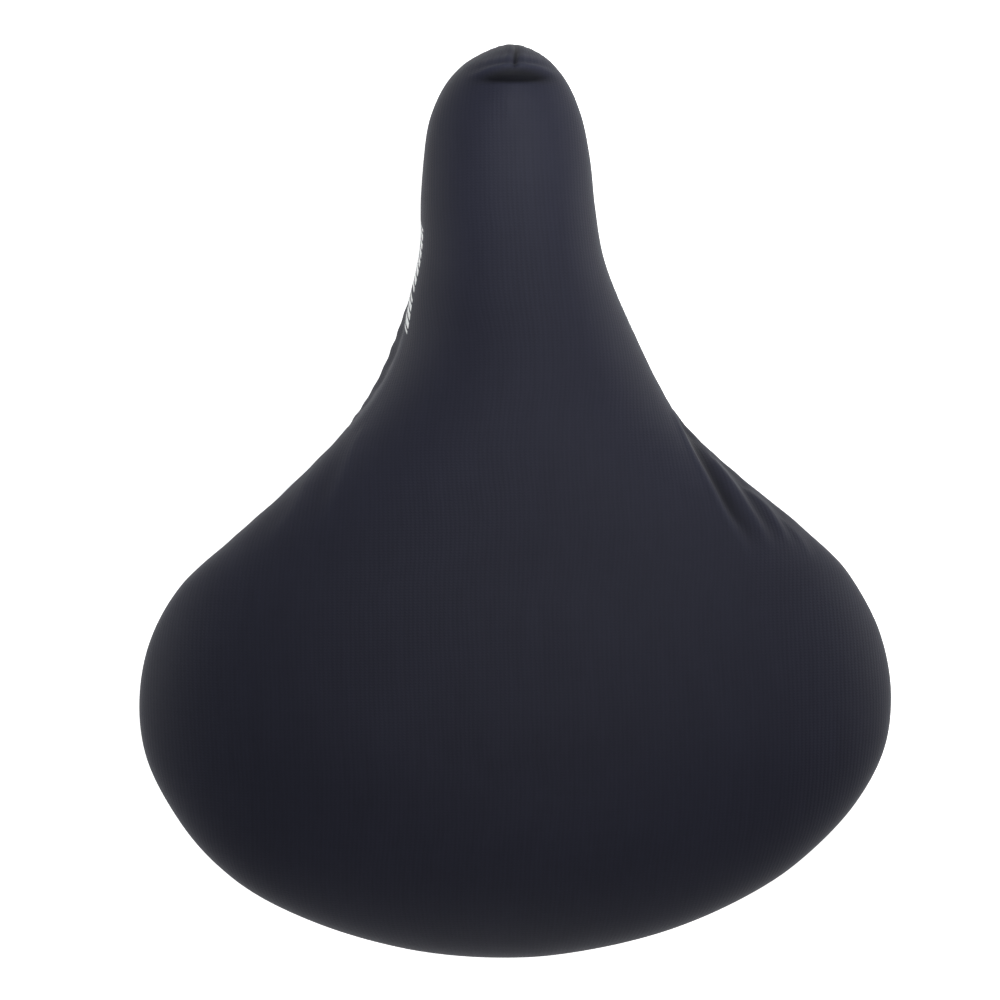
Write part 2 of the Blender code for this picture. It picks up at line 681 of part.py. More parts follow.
# its ends are rounded about the bolt
corner = [(BOLT_Y, -5.0), (BOLT_Y - 30.0, -5.0), (BOLT_Y - 30.0, STRAP_H + 5.0), (BOLT_Y, STRAP_H + 5.0)]
end_cut = corner + circle(BOLT_Y, BOLT_Z, STRAP_H / 2, 13, 90, 180)
cut = plate("end_cut", end_cut, 60.0, (0, 0, 0), None, "X", cutters)
boolean(strap, cut, "DIFFERENCE")
hole = rod("hole", (-40, BOLT_Y, BOLT_Z), (40, BOLT_Y, BOLT_Z), BOLT_R + GAP, None, cutters, sides=20)
boolean(strap, hole, "DIFFERENCE")

# spacer: a block between the legs that closes the round socket behind the post
spacer_ring = (
    [(-STRAP_IN + GAP, -4.0)]
    + [p for p in circle(0, 0, POST_R, 9, 200, 140)]
    + [(STRAP_IN - GAP, -4.0), (STRAP_IN - GAP, BOLT_Y - 7.5), (-STRAP_IN + GAP, BOLT_Y - 7.5)]
)
spacer = plate("clamp_spacer", spacer_ring, STRAP_H - 4.0, (0, 0, STRAP_H / 2), ZINC)
hole = rod("hole", (-40, BOLT_Y, BOLT_Z), (40, BOLT_Y, BOLT_Z), BOLT_R + GAP, None, cutters, sides=20)
boolean(spacer, hole, "DIFFERENCE")

# rail cradles: two plates each side that grip the wire between them
RISE = RAIL_Z - BOLT_Z
cradle = (
    circle(BOLT_Y, BOLT_Z, 14.0, 13, 180, 180)
    + [(BOLT_Y + 17.0, RAIL_Z - 4.0), (BOLT_Y + 17.0, RAIL_Z + 4.0), (BOLT_Y + 15.0, RAIL_Z + 6.0)]
    + [(BOLT_Y - 15.0, RAIL_Z + 6.0), (BOLT_Y - 17.0, RAIL_Z + 4.0), (BOLT_Y - 17.0, RAIL_Z - 4.0)]
)
INNER = (STRAP_OUT + GAP, RAIL_X - 0.3)
OUTER = (RAIL_X + 0.3, RAIL_X + 6.6)
for word, (a, b) in (("inner", INNER), ("outer", OUTER)):
    piece = plate(f"{word}_cradle_right", cradle, b - a, ((a + b) / 2, 0, 0), ZINC, "X")
    groove = rod("groove", (RAIL_X, -80, RAIL_Z), (RAIL_X, 60, RAIL_Z), RAIL_R + GAP, None, cutters, sides=16)
    boolean(piece, groove, "DIFFERENCE")
    hole = rod("hole", (0, BOLT_Y, BOLT_Z), (60, BOLT_Y, BOLT_Z), BOLT_R + GAP, None, cutters, sides=20)
    boolean(piece, hole, "DIFFERENCE")
    put(mirrored(piece, f"{word}_cradle_left"), ZINC)

# cross bolt, washers and nut
HEAD_IN = OUTER[1] + GAP + 1.6 + GAP
for side, label in ((1, "right"), (-1, "left")):
    a, b = OUTER[1] + GAP, OUTER[1] + GAP + 1.6
    washer = rod("clamp_washer_" + label, (side * a, BOLT_Y, BOLT_Z), (side * b, BOLT_Y, BOLT_Z), 8.5, ZINC, sides=24)
    hole = rod("hole", (side * 20, BOLT_Y, BOLT_Z), (side * 60, BOLT_Y, BOLT_Z), BOLT_R + GAP, None, cutters, sides=20)
    boolean(washer, hole, "DIFFERENCE")
bolt = rod("clamp_bolt", (-HEAD_IN - 5.3, BOLT_Y, BOLT_Z), (-HEAD_IN, BOLT_Y, BOLT_Z), 7.5, ZINC, sides=6)
shank = rod("shank", (-HEAD_IN - 1.0, BOLT_Y, BOLT_Z), (HEAD_IN + 9.0, BOLT_Y, BOLT_Z), BOLT_R, ZINC, sides=20)
boolean(bolt, shank, "UNION")
nut = rod("clamp_nut", (HEAD_IN, BOLT_Y, BOLT_Z), (HEAD_IN + 6.5, BOLT_Y, BOLT_Z), 7.5, ZINC, sides=6)
hole = rod("hole", (20, BOLT_Y, BOLT_Z), (60, BOLT_Y, BOLT_Z), BOLT_R + GAP, None, cutters, sides=20)
boolean(nut, hole, "DIFFERENCE")

for obj in saddle.objects:
    if obj.type == "MESH":
        smooth(obj, 40)

# ---------------------------------------------------------------- what moves together
# Each moving group hangs on an empty that sits on its joint's axis: the cradles tilt about the cross
# bolt, the rails slide along +Y in the cradles, and the top swings about the wire's front run.
SIDES = ("left", "right")
MOVES = [
    ("clamp_tilt", (0, BOLT_Y, BOLT_Z), [f"{a}_cradle_{b}" for a in ("inner", "outer") for b in SIDES]),
    (
        "rail_slide",
        (0, BOLT_Y, RAIL_Z),
        ["rail_frame"] + [f"{a}_{b}" for a in ("coil_spring", "lower_spring_cup", "lower_spring_bolt", "lower_spring_nut") for b in SIDES],
    ),
    (
        "suspension",
        (0, PIVOT_Y, PIVOT_Z),
        ["base_shell", "foam_pad", "cover", "nose_cap", "nose_screw_front", "nose_screw_rear"]
        + [f"{a}_{b}" for a in ("upper_spring_cup", "upper_spring_bolt", "upper_spring_nut") for b in SIDES],
    ),
]
carrier = None
for name, place, pieces in MOVES:
    joint = bpy.data.objects.new(name, None)
    saddle.objects.link(joint)
    joint.empty_display_size = 0.02
    joint.location = Vector(place) * MM
    if carrier is not None:
        joint.parent = carrier
        joint.matrix_parent_inverse = Matrix.Translation(-carrier_place)
    for piece in pieces:
        obj = bpy.data.objects[piece]
        obj.parent = joint
        obj.matrix_parent_inverse = Matrix.Translation(-Vector(place) * MM)
    carrier, carrier_place = joint, Vector(place) * MM
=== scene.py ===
# The looks of the wide comfort saddle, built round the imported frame.
# Every length below is in millimetres unless a name says otherwise; the scene is in metres.
import math

import bmesh
import bpy
import numpy as np
from mathutils import Matrix, Vector
from mathutils.bvhtree import BVHTree


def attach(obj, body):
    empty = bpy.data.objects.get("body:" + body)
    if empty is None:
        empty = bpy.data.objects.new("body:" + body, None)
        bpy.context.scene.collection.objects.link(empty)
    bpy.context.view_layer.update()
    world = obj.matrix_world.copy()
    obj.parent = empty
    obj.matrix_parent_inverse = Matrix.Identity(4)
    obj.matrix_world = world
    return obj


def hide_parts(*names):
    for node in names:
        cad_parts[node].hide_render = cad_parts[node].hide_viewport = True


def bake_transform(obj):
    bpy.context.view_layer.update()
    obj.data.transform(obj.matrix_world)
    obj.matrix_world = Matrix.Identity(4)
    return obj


MM = 0.001
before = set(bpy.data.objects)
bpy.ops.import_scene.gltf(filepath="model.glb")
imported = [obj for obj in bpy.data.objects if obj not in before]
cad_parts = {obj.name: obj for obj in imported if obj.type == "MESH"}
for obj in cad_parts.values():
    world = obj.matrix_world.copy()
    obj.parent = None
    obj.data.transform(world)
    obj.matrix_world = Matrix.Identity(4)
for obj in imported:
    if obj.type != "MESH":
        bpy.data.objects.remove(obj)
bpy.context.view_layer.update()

scene = bpy.context.scene
scene.unit_settings.system = "METRIC"
scene.view_settings.view_transform = "Standard"
scene.view_settings.look = "None"
scene.cycles.use_denoising = True
scene.cycles.max_bounces = 8

# ================================================================ camera, light and floor
# The camera looks straight down from 1.6 m, leaning a little to the rider's left and to the front.
AIM = Vector((0.0, 0.0, 70.0))
DISTANCE = 1600.0
YAW, ROLL, PITCH = 0.0175, 0.05, 0.05
SHIFT_X, SHIFT_Y, PX_PER_MM = 12.9, 4.3, 3.340

look = Matrix.Rotation(PITCH, 3, "X") @ Matrix.Rotation(ROLL, 3, "Y") @ Matrix.Rotation(YAW, 3, "Z")
cam_data = bpy.data.cameras.new("camera")
cam = bpy.data.objects.new("camera", cam_data)
scene.collection.objects.link(cam)
cam_data.sensor_width = 36.0
cam_data.lens = 36.0 * PX_PER_MM * DISTANCE / 1000.0
cam_data.clip_start, cam_data.clip_end = 0.05, 50.0
back = Vector((-SHIFT_X / PX_PER_MM, SHIFT_Y / PX_PER_MM, DISTANCE))
cam.matrix_world = Matrix.Translation((AIM + look.transposed() @ back) * MM) @ look.transposed().to_4x4()
scene.camera = cam

world = bpy.data.worlds.new("studio")
scene.world = world
world.use_nodes = True
# the sweep behind the object is white to the eye, and gives only a little light of its own
wt = world.node_tree
backdrop = wt.nodes["Background"]
backdrop.inputs["Color"].default_value = (0.94, 0.97, 1.0, 1.0)
backdrop.inputs["Strength"].default_value = 0.07
white = wt.nodes.new("ShaderNodeBackground")
white.inputs["Color"].default_value = (1.0, 1.0, 1.0, 1.0)
seen = wt.nodes.new("ShaderNodeMixShader")
wt.links.new(wt.nodes.new("ShaderNodeLightPath").outputs["Is Camera Ray"], seen.inputs[0])
wt.links.new(backdrop.outputs[0], seen.inputs[1])
wt.links.new(white.outputs[0], seen.inputs[2])
wt.links.new(seen.outputs[0], wt.nodes["World Output"].inputs["Surface"])


def area_light(name, place, aim, size, power, colour=(1.0, 1.0, 1.0)):
    data = bpy.data.lights.new(name, "AREA")
    data.shape, data.size, data.energy, data.color = "DISK", size, power, colour
    obj = bpy.data.objects.new(name, data)
    scene.collection.objects.link(obj)
    obj.location = place
    obj.rotation_mode = "QUATERNION"
    obj.rotation_quaternion = (Vector(aim) - Vector(place)).to_track_quat("-Z", "Y")
    obj.visible_camera = False
    return obj


area_light("key", (0.06, 0.125, 0.40), (0.0, 0.04, 0.08), 0.20, 0.86)
area_light("nose_kick", (0.10, 0.24, 0.30), (0.01, 0.09, 0.09), 0.14, 0.16, (0.97, 0.98, 1.0))
area_light("nose_top", (0.025, 0.16, 0.215), (0.0, 0.085, 0.098), 0.06, 0.12, (0.92, 0.96, 1.0))
area_light("seat_fill", (0.03, -0.08, 0.34), (0.0, -0.06, 0.10), 0.12, 0.07)
area_light("rear_rim", (0.0, -0.752, 0.30), (0.0, 0.0, 0.08), 0.5, 2.0)
area_light("left_rim", (-0.78, 0.0, 0.25), (0.0, 0.0, 0.08), 0.45, 1.3, (0.97, 1.0, 0.98))
area_light("right_rim", (0.752, 0.0, 0.354), (0.0, 0.0, 0.08), 0.5, 0.6)
area_light("right_low", (0.5, 0.1, 0.05), (0.0, 0.04, 0.08), 0.3, 1.6)
area_light("left_low", (-0.5, 0.1, 0.05), (0.0, 0.04, 0.08), 0.3, 1.0)

# ================================================================ the saddle's sections, as in the CAD
GAP, COVER_T, HEM, FOAM_EDGE, BASE_T, BASE_CORNER, LIFT = 0.3, 0.9, 5.5, 3.0, 3.0, 5.0, 6.0
OUTLINE = [
    # x      y       s      e     i     r
    (0.0, -135.0, -78.0, 73.0, 8.0, 56.0),
    (29.0, -132.5, -77.0, 73.0, 8.0, 55.5),
    (60.0, -123.0, -74.0, 72.0, 8.0, 54.0),
    (84.0, -109.5, -70.0, 71.0, 8.0, 52.0),
    (101.0, -92.0, -65.0, 70.0, 7.5, 50.5),
    (111.0, -72.0, -58.0, 69.5, 7.0, 49.5),
    (112.4, -56.0, -50.0, 69.5, 6.5, 49.0),
    (109.4, -40.0, -41.0, 69.5, 6.0, 49.5),
    (100.3, -23.0, -30.0, 69.5, 4.8, 50.0),
    (84.6, -8.0, -18.0, 69.0, 3.0, 51.0),
    (66.0, 8.0, -3.0, 67.5, 1.6, 52.0),
    (52.0, 21.5, 12.0, 66.0, 0.8, 53.0),
    (40.8, 37.0, 29.0, 65.5, 0.3, 54.0),
    (32.6, 55.0, 48.0, 67.0, 0.0, 55.0),
    (27.2, 72.0, 66.0, 70.5, 0.2, 56.0),
    (25.7, 88.0, 82.0, 74.0, 0.6, 56.5),
    (24.8, 103.0, 95.0, 76.0, 1.2, 57.0),
    (21.8, 117.0, 105.0, 76.0, 2.6, 57.0),
    (16.5, 128.0, 111.0, 75.0, 4.0, 57.0),
    (9.0, 134.5, 114.0, 74.0, 5.0, 57.0),
    (0.0, 137.0, 115.0, 73.5, 5.5, 57.0),
]
CROWN = [(-78.0, 103.0), (-45.0, 101.0), (-10.0, 97.5), (30.0, 95.5), (70.0, 97.0), (95.0, 97.5), (115.0, 96.5)]
BASE_TOP = [(-78.0, 80.0), (-45.0, 78.0), (-10.0, 73.0), (30.0, 70.5), (70.0, 70.0), (115.0, 69.5)]
RAIL_R, RAIL_X, RAIL_Z, PIVOT_Y, PIVOT_Z = 3.5, 22.0, 23.8, 106.0, 53.0
SPRING_X, SPRING_Y, SPRING_WIRE, SPRING_OD = 46.0, -92.0, 4.0, 34.0
PADDLE_Z, PADDLE_T, CUP_T = 16.0, 4.0, 1.6
SPRING_BOTTOM, SPRING_TOP = PADDLE_Z + PADDLE_T + GAP + CUP_T + GAP, 66.0
BOSS_BOTTOM = SPRING_TOP + GAP + CUP_T + GAP
BOLT_Y, BOLT_Z = -20.0, 14.0


def through(rows, at):
    """A cubic through every row of a table, at shares of its chord length; reflected at both ends."""
    n = len(rows)
    know = [0.0]
    for a, b in zip(rows, rows[1:]):
        know.append(know[-1] + math.hypot(b[0] - a[0], b[1] - a[1]))
    mirrored = lambda row: [-row[0]] + list(row[1:])
    full = [mirrored(rows[1])] + [list(r) for r in rows] + [mirrored(rows[-2])]
    ks = [-know[1]] + know + [2 * know[-1] - know[-2]]
    slopes = []
    for j in range(1, n + 1):
        h0, h1 = ks[j] - ks[j - 1], ks[j + 1] - ks[j]
        slopes.append([((c - b) / h1 * h0 + (b - a) / h0 * h1) / (h0 + h1) for a, b, c in zip(full[j - 1], full[j], full[j + 1])])
    out = []
    for t in at:
        k = min(max(t, 0.0), 1.0) * know[-1]
        j = max(i for i in range(n - 1) if know[i] <= k + 1e-12)
        h = know[j + 1] - know[j]
        u = (k - know[j]) / h
        a, b, ma, mb = rows[j], rows[j + 1], slopes[j], slopes[j + 1]
        out.append(
            [
                (2 * u**3 - 3 * u**2 + 1) * a[c] + (u**3 - 2 * u**2 + u) * h * ma[c] + (3 * u**2 - 2 * u**3) * b[c] + (u**3 - u**2) * h * mb[c]
                for c in range(len(a))
            ]
        )
    return out


def height(table, y):
    """A smooth height along the centre line, for an array of y."""
    ys, zs = np.array([p[0] for p in table]), np.array([p[1] for p in table])
    slope = np.zeros(len(ys))
    slope[1:-1] = (zs[2:] - zs[:-2]) / (ys[2:] - ys[:-2])
    y = np.clip(y, ys[0], ys[-1])
    j = np.clip(np.searchsorted(ys, y, side="right") - 1, 0, len(ys) - 2)
    h = ys[j + 1] - ys[j]
    u = (y - ys[j]) / h
    return (2 * u**3 - 3 * u**2 + 1) * zs[j] + (u**3 - 2 * u**2 + u) * h * slope[j] + (3 * u**2 - 2 * u**3) * zs[j + 1] + (u**3 - u**2) * h * slope[j + 1]


def table(rows, y):
    """A smooth value from a short table of (y, value), flat beyond its ends."""
    ys, vs = np.array([p[0] for p in rows], float), np.array([p[1] for p in rows], float)
    y = np.clip(y, ys[0], ys[-1])
    slope = np.gradient(vs, ys)
    slope[0] = slope[-1] = 0.0
    j = np.clip(np.searchsorted(ys, y, side="right") - 1, 0, len(ys) - 2)
    h = ys[j + 1] - ys[j]
    u = (y - ys[j]) / h
    return (2 * u**3 - 3 * u**2 + 1) * vs[j] + (u**3 - 2 * u**2 + u) * h * slope[j] + (3 * u**2 - 2 * u**3) * vs[j + 1] + (u**3 - u**2) * h * slope[j + 1]


def smoothstep(lo, hi, x):
    u = np.clip((x - lo) / (hi - lo), 0.0, 1.0)
    return u * u * (3 - 2 * u)


class Stations:
    """The upright sections round half of the outline, as arrays of one row for each."""

    def __init__(self, n, at=None):
        rows = np.array(through(OUTLINE, at if at is not None else [j / n for j in range(n + 1)]))
        x, y, s, e, i, r = rows.T
        if at is None:
            x[0] = x[-1] = 0.0
        self.n = len(x)
        self.foot_y = s[:, None]
        way = np.stack([x, y - s], 1)
        self.R = np.linalg.norm(way, axis=1)[:, None]
        self.way = way / self.R
        self.edge = (e + LIFT)[:, None]
        self.inset = i[:, None]
        self.rim = (r + LIFT)[:, None]
        self.rim_r = self.R - self.inset
        self.wide = np.clip((self.R - 26.0) / 60.0, 0.0, 1.0)

    def points(self, r, z):
        """(stations, steps, 3) points for radius and height arrays."""
        r, z = np.broadcast_arrays(r, z)
        return np.stack([np.maximum(self.way[:, :1] * r, 0.0), self.foot_y + self.way[:, 1:] * r, z], -1)


def bezier(p0, p1, p2, p3, steps, first=True):
    """A cubic's (r, z) arrays for points given as pairs of column arrays."""
    u = np.linspace(0, 1, steps + 1)[None, 0 if first else 1 :]
    f = [(1 - u) ** 3, 3 * u * (1 - u) ** 2, 3 * u * u * (1 - u), u**3]
    return tuple(sum(w * np.asarray(p[c], float) for w, p in zip(f, (p0, p1, p2, p3))) for c in (0, 1))


def crown_path(st, steps=72, side=20):
    """The cover's outside, from the centre line over the shoulder and down to the rim's turn."""
    a = np.pi / 2 * (np.linspace(0, 1, steps + 1) ** 1.25)[None, :]
    r = st.R * np.sin(a) ** (0.86 - 0.10 * st.wide)
    y = st.foot_y + st.way[:, 1:] * r
    share = np.maximum(np.cos(a), 0.0) ** 0.92
    share[:, -1] = 0.0
    z = st.edge + (height(CROWN, y) + LIFT - st.edge) * share
    low = st.rim + 5.0
    drop = st.edge - low
    br, bz = bezier((st.R, st.edge), (st.R, st.edge - 0.45 * drop), (st.rim_r + 0.35 * st.inset, low + 0.35 * drop), (st.rim_r, low), side, False)
    return np.concatenate([r, br], 1), np.concatenate([z, bz], 1)


def rim_path(st):
    """On from the crown: round under the rim, up inside it and to the hem's cut edge."""
    rr, z, hem_r = st.rim_r, st.rim, st.rim_r - 7.5
    parts = [
        bezier((rr, z + 5.0), (rr, z + 1.0), (rr - 0.7, z - 1.2), (rr - 3.4, z - 1.2), 9, False),
        bezier((rr - 3.4, z - 1.2), (rr - 4.6, z - 1.2), (hem_r + 1.6, z - 1.2), (hem_r + 0.4, z - 1.2), 5, False),
        bezier((hem_r + 0.4, z - 1.2), (hem_r - 0.7, z - 1.2), (hem_r - 1.2, z - 0.8), (hem_r - 1.2, z + 0.7), 6, False),
        bezier((hem_r - 1.2, z + 0.7), (hem_r - 1.2, z + 2.2), (hem_r - 1.2, z + 3.9), (hem_r - 1.2, z + HEM), 6, False),
    ]
    return tuple(np.concatenate([p[c] for p in parts], 1) for c in (0, 1))


def base_paths(st, steps=20):
    """The moulded base's upper side and, 3 mm below it, its underside."""
    out = st.rim_r - COVER_T - GAP - FOAM_EDGE - GAP
    top_r, knee = out - BASE_CORNER, st.rim + 11.0 + 7.0 * st.wide
    t = np.linspace(0, 1, steps + 1)[None, :]
    u = np.sin(np.pi / 2 * t)
    y = st.foot_y + st.way[:, 1:] * top_r * u
    z = knee + (height(BASE_TOP, y) + LIFT - knee) * (0.5 + 0.5 * np.cos(np.pi * u))
    a = np.radians(np.linspace(0, 90, 7))[None, 1:]
    corner = (top_r + BASE_CORNER * np.sin(a), knee - BASE_CORNER + BASE_CORNER * np.cos(a))
    inner = BASE_CORNER - BASE_T
    under = (top_r + inner * np.sin(a), knee - BASE_CORNER + inner * np.cos(a))
    down = np.linspace(0, 1, 6)[None, 1:]
    wall = lambda r: (np.broadcast_to(r, (st.n, 5)), (knee - BASE_CORNER) + (st.rim - knee + BASE_CORNER) * down)
    upper = [(top_r * u, z), corner, wall(out)]
    lower = [(top_r * u, z - BASE_T), under, wall(out - BASE_T)]
    join = lambda parts: tuple(np.concatenate([p[c] for p in parts], 1) for c in (0, 1))
    return join(upper), join(lower)


# ================================================================ mesh helpers
def new_object(name, verts, faces):
    """verts in mm."""
    mesh = bpy.data.meshes.new(name)
    mesh.from_pydata((np.asarray(verts, float) * MM).tolist(), [], faces)
    mesh.update()
    obj = bpy.data.objects.new(name, mesh)
    scene.collection.objects.link(obj)
    return obj


def shade(obj, angle=None):
    obj.data.shade_smooth()
    if angle is not None:
        obj.data.set_sharp_from_angle(angle=math.radians(angle))
    return obj


def full_loop(grid):
    """Makes (stations, steps, 3) points of the right half into the whole: vertices, and an index grid that
    runs tail, right wing, nose, left wing and back. The centre line is shared."""
    n, m, _ = grid.shape
    right = grid.reshape(-1, 3)
    idx_r = np.arange(n * m).reshape(n, m)
    left = grid.copy()
    left[..., 0] *= -1
    keep = np.ones((n, m), bool)
    keep[0, :] = keep[-1, :] = False
    keep[:, 0] = False
    idx_l = np.full((n, m), -1)
    idx_l[keep] = n * m + np.arange(keep.sum())
    idx_l[0, :], idx_l[-1, :] = idx_r[0, :], idx_r[-1, :]
    idx_l[:, 0] = idx_r[:, 0]
    verts = np.concatenate([right, left[keep]])
    loop = np.concatenate([idx_r, idx_l[-2:0:-1]], 0)  # rows round the whole outline
    return verts, loop


def loop_faces(loop, flip=False):
    """Quads between neighbouring rows of a closed index grid, leaving out what has no area."""
    nxt = np.roll(loop, -1, axis=0)
    faces = []
    for a, b in zip(loop.tolist(), nxt.tolist()):
        for j in range(len(a) - 1):
            f = [a[j], a[j + 1], b[j + 1], b[j]]
            f = [v for i, v in enumerate(f) if v not in f[:i]]
            if len(f) >= 3:
                faces.append(f[::-1] if flip else f)
    return faces


def grid_normals(verts, loop):
    """Unit normals of a closed loop grid's vertices, by central differences."""
    p = verts[loop]
    du = np.roll(p, -1, 0) - np.roll(p, 1, 0)
    dv = np.empty_like(p)
    dv[:, 1:-1] = p[:, 2:] - p[:, :-2]
    dv[:, 0], dv[:, -1] = p[:, 1] - p[:, 0], p[:, -1] - p[:, -2]
    n = np.cross(dv, du)
    total = np.zeros_like(verts)
    np.add.at(total, loop.ravel(), n.reshape(-1, 3))
    size = np.linalg.norm(total, axis=1, keepdims=True)
    return total / np.maximum(size, 1e-9)


def strip_tube(name, points, sides, shape, caps=True):
    """A tube along points. shape(j) gives the (across, up) outline of section j as an array of pairs."""
    p = np.asarray(points, float)
    t = np.gradient(p, axis=0)
    t /= np.linalg.norm(t, axis=1, keepdims=True)
    side = np.cross(t, [0.0, 0.0, 1.0])
    side /= np.linalg.norm(side, axis=1, keepdims=True)
    up = np.cross(side, t)
    verts, faces = [], []
    for j in range(len(p)):
        s = np.asarray(shape(j))
        verts.append(p[j] + s[:, :1] * side[j] + s[:, 1:] * up[j])
    verts = np.concatenate(verts)
    for j in range(len(p) - 1):
        for k in range(sides):
            a, b = j * sides + k, j * sides + (k + 1) % sides
            faces.append([a, b, b + sides, a + sides])
    if caps:
        faces.append(list(range(sides))[::-1])
        faces.append([(len(p) - 1) * sides + k for k in range(sides)])
    obj = new_object(name, verts, faces)
    fix_normals(obj)
    return obj


def fix_normals(obj):
    bm = bmesh.new()
    bm.from_mesh(obj.data)
    bmesh.ops.recalc_face_normals(bm, faces=bm.faces)
    bm.to_mesh(obj.data)
    bm.free()
    return obj


def revolve(name, profile, place=(0, 0, 0), sides=72, axis="Z"):
    """A turned piece. A profile of (radius, height), closed unless it starts and ends on the axis."""
    closed = profile[0][0] > 1e-6
    m = len(profile)
    verts, index = [], []
    for r, z in profile:
        if r < 1e-6:
            index.append([len(verts)] * sides)
            verts.append((0, 0, z))
        else:
            index.append(list(range(len(verts), len(verts) + sides)))
            verts += [(r * math.cos(2 * math.pi * k / sides), r * math.sin(2 * math.pi * k / sides), z) for k in range(sides)]
    faces = []
    for j in range(m if closed else m - 1):
        a, b = index[j], index[(j + 1) % m]
        for k in range(sides):
            f = [a[k], a[(k + 1) % sides], b[(k + 1) % sides], b[k]]
            f = [v for i, v in enumerate(f) if v not in f[:i]]
            if len(f) >= 3:
                faces.append(f)
    v = np.array(verts, float)
    if axis == "X":
        v = np.stack([v[:, 2], v[:, 1], -v[:, 0]], 1)
    obj = new_object(name, v + np.array(place, float), faces)
    return fix_normals(obj)


def filleted(profile, radius, steps=4, closed=True):
    """A profile of (radius, height) whose corners are rounded."""
    out, n = [], len(profile)
    for j, b in enumerate(profile):
        if not closed and j in (0, n - 1):
            out.append(b)
            continue
        a, c = profile[j - 1], profile[(j + 1) % n]
        a, b, c = Vector(a), Vector(b), Vector(c)
        u, v = a - b, c - b
        if b.x < 1e-6 or u.length < 1e-6 or v.length < 1e-6 or abs(u.normalized().dot(v.normalized())) > 0.985:
            out.append(tuple(b))
            continue
        back = min(radius, 0.45 * u.length, 0.45 * v.length)
        p, q = b + u.normalized() * back, b + v.normalized() * back
        for k in range(steps + 1):
            w = k / steps
            out.append(tuple(p * (1 - w) ** 2 + b * 2 * w * (1 - w) + q * w * w))
    return out


def applied(obj):
    graph = bpy.context.evaluated_depsgraph_get()
    mesh = bpy.data.meshes.new_from_object(obj.evaluated_get(graph))
    obj.modifiers.clear()
    obj.data = mesh
    return obj


def boolean(obj, other, how, own=False):
    mod = obj.modifiers.new(how.lower(), "BOOLEAN")
    mod.operation, mod.solver, mod.object, mod.use_self = how, "EXACT", other, own
    applied(obj)
    bpy.data.objects.remove(other, do_unlink=True)
    return obj


def bevelled(obj, width, segments=3, angle=30.0):
    mod = obj.modifiers.new("edges", "BEVEL")
    mod.width, mod.segments, mod.limit_method = width * MM, segments, "ANGLE"
    mod.angle_limit = math.radians(angle)
    mod.use_clamp_overlap = True
    return applied(obj)


def prism(name, ring, lo, hi, axis="Z"):
    """A flat outline, pushed from lo to hi along an axis. On X the outline is (y, z)."""
    n = len(ring)
    verts = [(u, v, w) for w in (lo, hi) for u, v in ring]
    if axis == "X":
        verts = [(w, u, v) for u, v, w in verts]
    faces = [list(range(n))[::-1], list(range(n, 2 * n))] + [[k, (k + 1) % n, n + (k + 1) % n, n + k] for k in range(n)]
    return fix_normals(new_object(name, verts, faces))


def ring_of(radius, sides, turn=0.0):
    return [(radius * math.cos(math.radians(turn) + 2 * math.pi * k / sides), radius * math.sin(math.radians(turn) + 2 * math.pi * k / sides)) for k in range(sides)]


def moved(obj, place, axis="Z"):
    if axis == "X":
        obj.data.transform(Matrix(((0, 0, 1, 0), (0, 1, 0, 0), (-1, 0, 0, 0), (0, 0, 0, 1))))
    obj.data.transform(Matrix.Translation(Vector(place) * MM))
    return obj


def hex_head(name, radius, lo, hi, both=False, hole=0.0):
    """A hexagon with its corners turned off at 30 degrees, on one end or on both."""
    flat = radius * 0.866
    obj = prism(name, ring_of(radius, 6), lo, hi)
    cut = 0.5 * radius * 0.27
    profile = [(0, hi), (flat * 0.97, hi), (radius * 1.04, hi - cut)]
    profile += [(radius * 1.04, lo + cut), (flat * 0.97, lo), (0, lo)] if both else [(radius * 1.04, lo), (0, lo)]
    boolean(obj, revolve("turned", profile, sides=64), "INTERSECT")
    if hole:
        boolean(obj, revolve("bore", [(0, hi + 5), (hole, hi + 5), (hole, lo - 5), (0, lo - 5)], sides=40), "DIFFERENCE")
        top = [(0, hi + 1), (hole + 1.0, hi + 0.2), (hole - 0.1, hi - 0.9), (0, hi - 0.9)]
        boolean(obj, revolve("sink", top, sides=40), "DIFFERENCE")
    return obj


def thread(name, radius, lo, hi, pitch=1.0, depth=0.45, sides=40, plain=0.0):
    """A threaded rod with a real helix and a chamfered end; `plain` is the length left smooth at its low end."""
    per = 8
    rows = int((hi - lo) / pitch * per)
    verts, faces = [], []
    for j in range(rows + 1):
        z = lo + (hi - lo) * j / rows
        for k in range(sides):
            a = 2 * math.pi * k / sides
            phase = ((z - lo) / pitch - k / sides) % 1.0
            dip = depth * (1.0 - abs(2 * phase - 1.0)) if z > lo + plain else 0.0
            dip *= min(1.0, max(0.0, (z - lo - plain) / pitch))
            r = min(radius - dip, radius - 0.8 + (hi - z) * 1.0 if hi - z < 0.8 else radius)
            verts.append((r * math.cos(a), r * math.sin(a), z))
    for j in range(rows):
        for k in range(sides):
            a, b = j * sides + k, j * sides + (k + 1) % sides
            faces.append([a, b, b + sides, a + sides])
    faces += [list(range(sides))[::-1], [rows * sides + k for k in range(sides)]]
    return fix_normals(new_object(name, verts, faces))


def joined(name, parts):
    """Several bodies as one mesh object."""
    bm = bmesh.new()
    for p in parts:
        bm.from_mesh(p.data)
    mesh = bpy.data.meshes.new(name)
    bm.to_mesh(mesh)
    bm.free()
    for p in parts:
        bpy.data.objects.remove(p, do_unlink=True)
    obj = bpy.data.objects.new(name, mesh)
    scene.collection.objects.link(obj)
    return obj


# ================================================================ material helpers
def node_material(name):
    m = bpy.data.materials.new(name)
    m.use_nodes = True
    t = m.node_tree
    return m, t, t.nodes["Principled BSDF"]


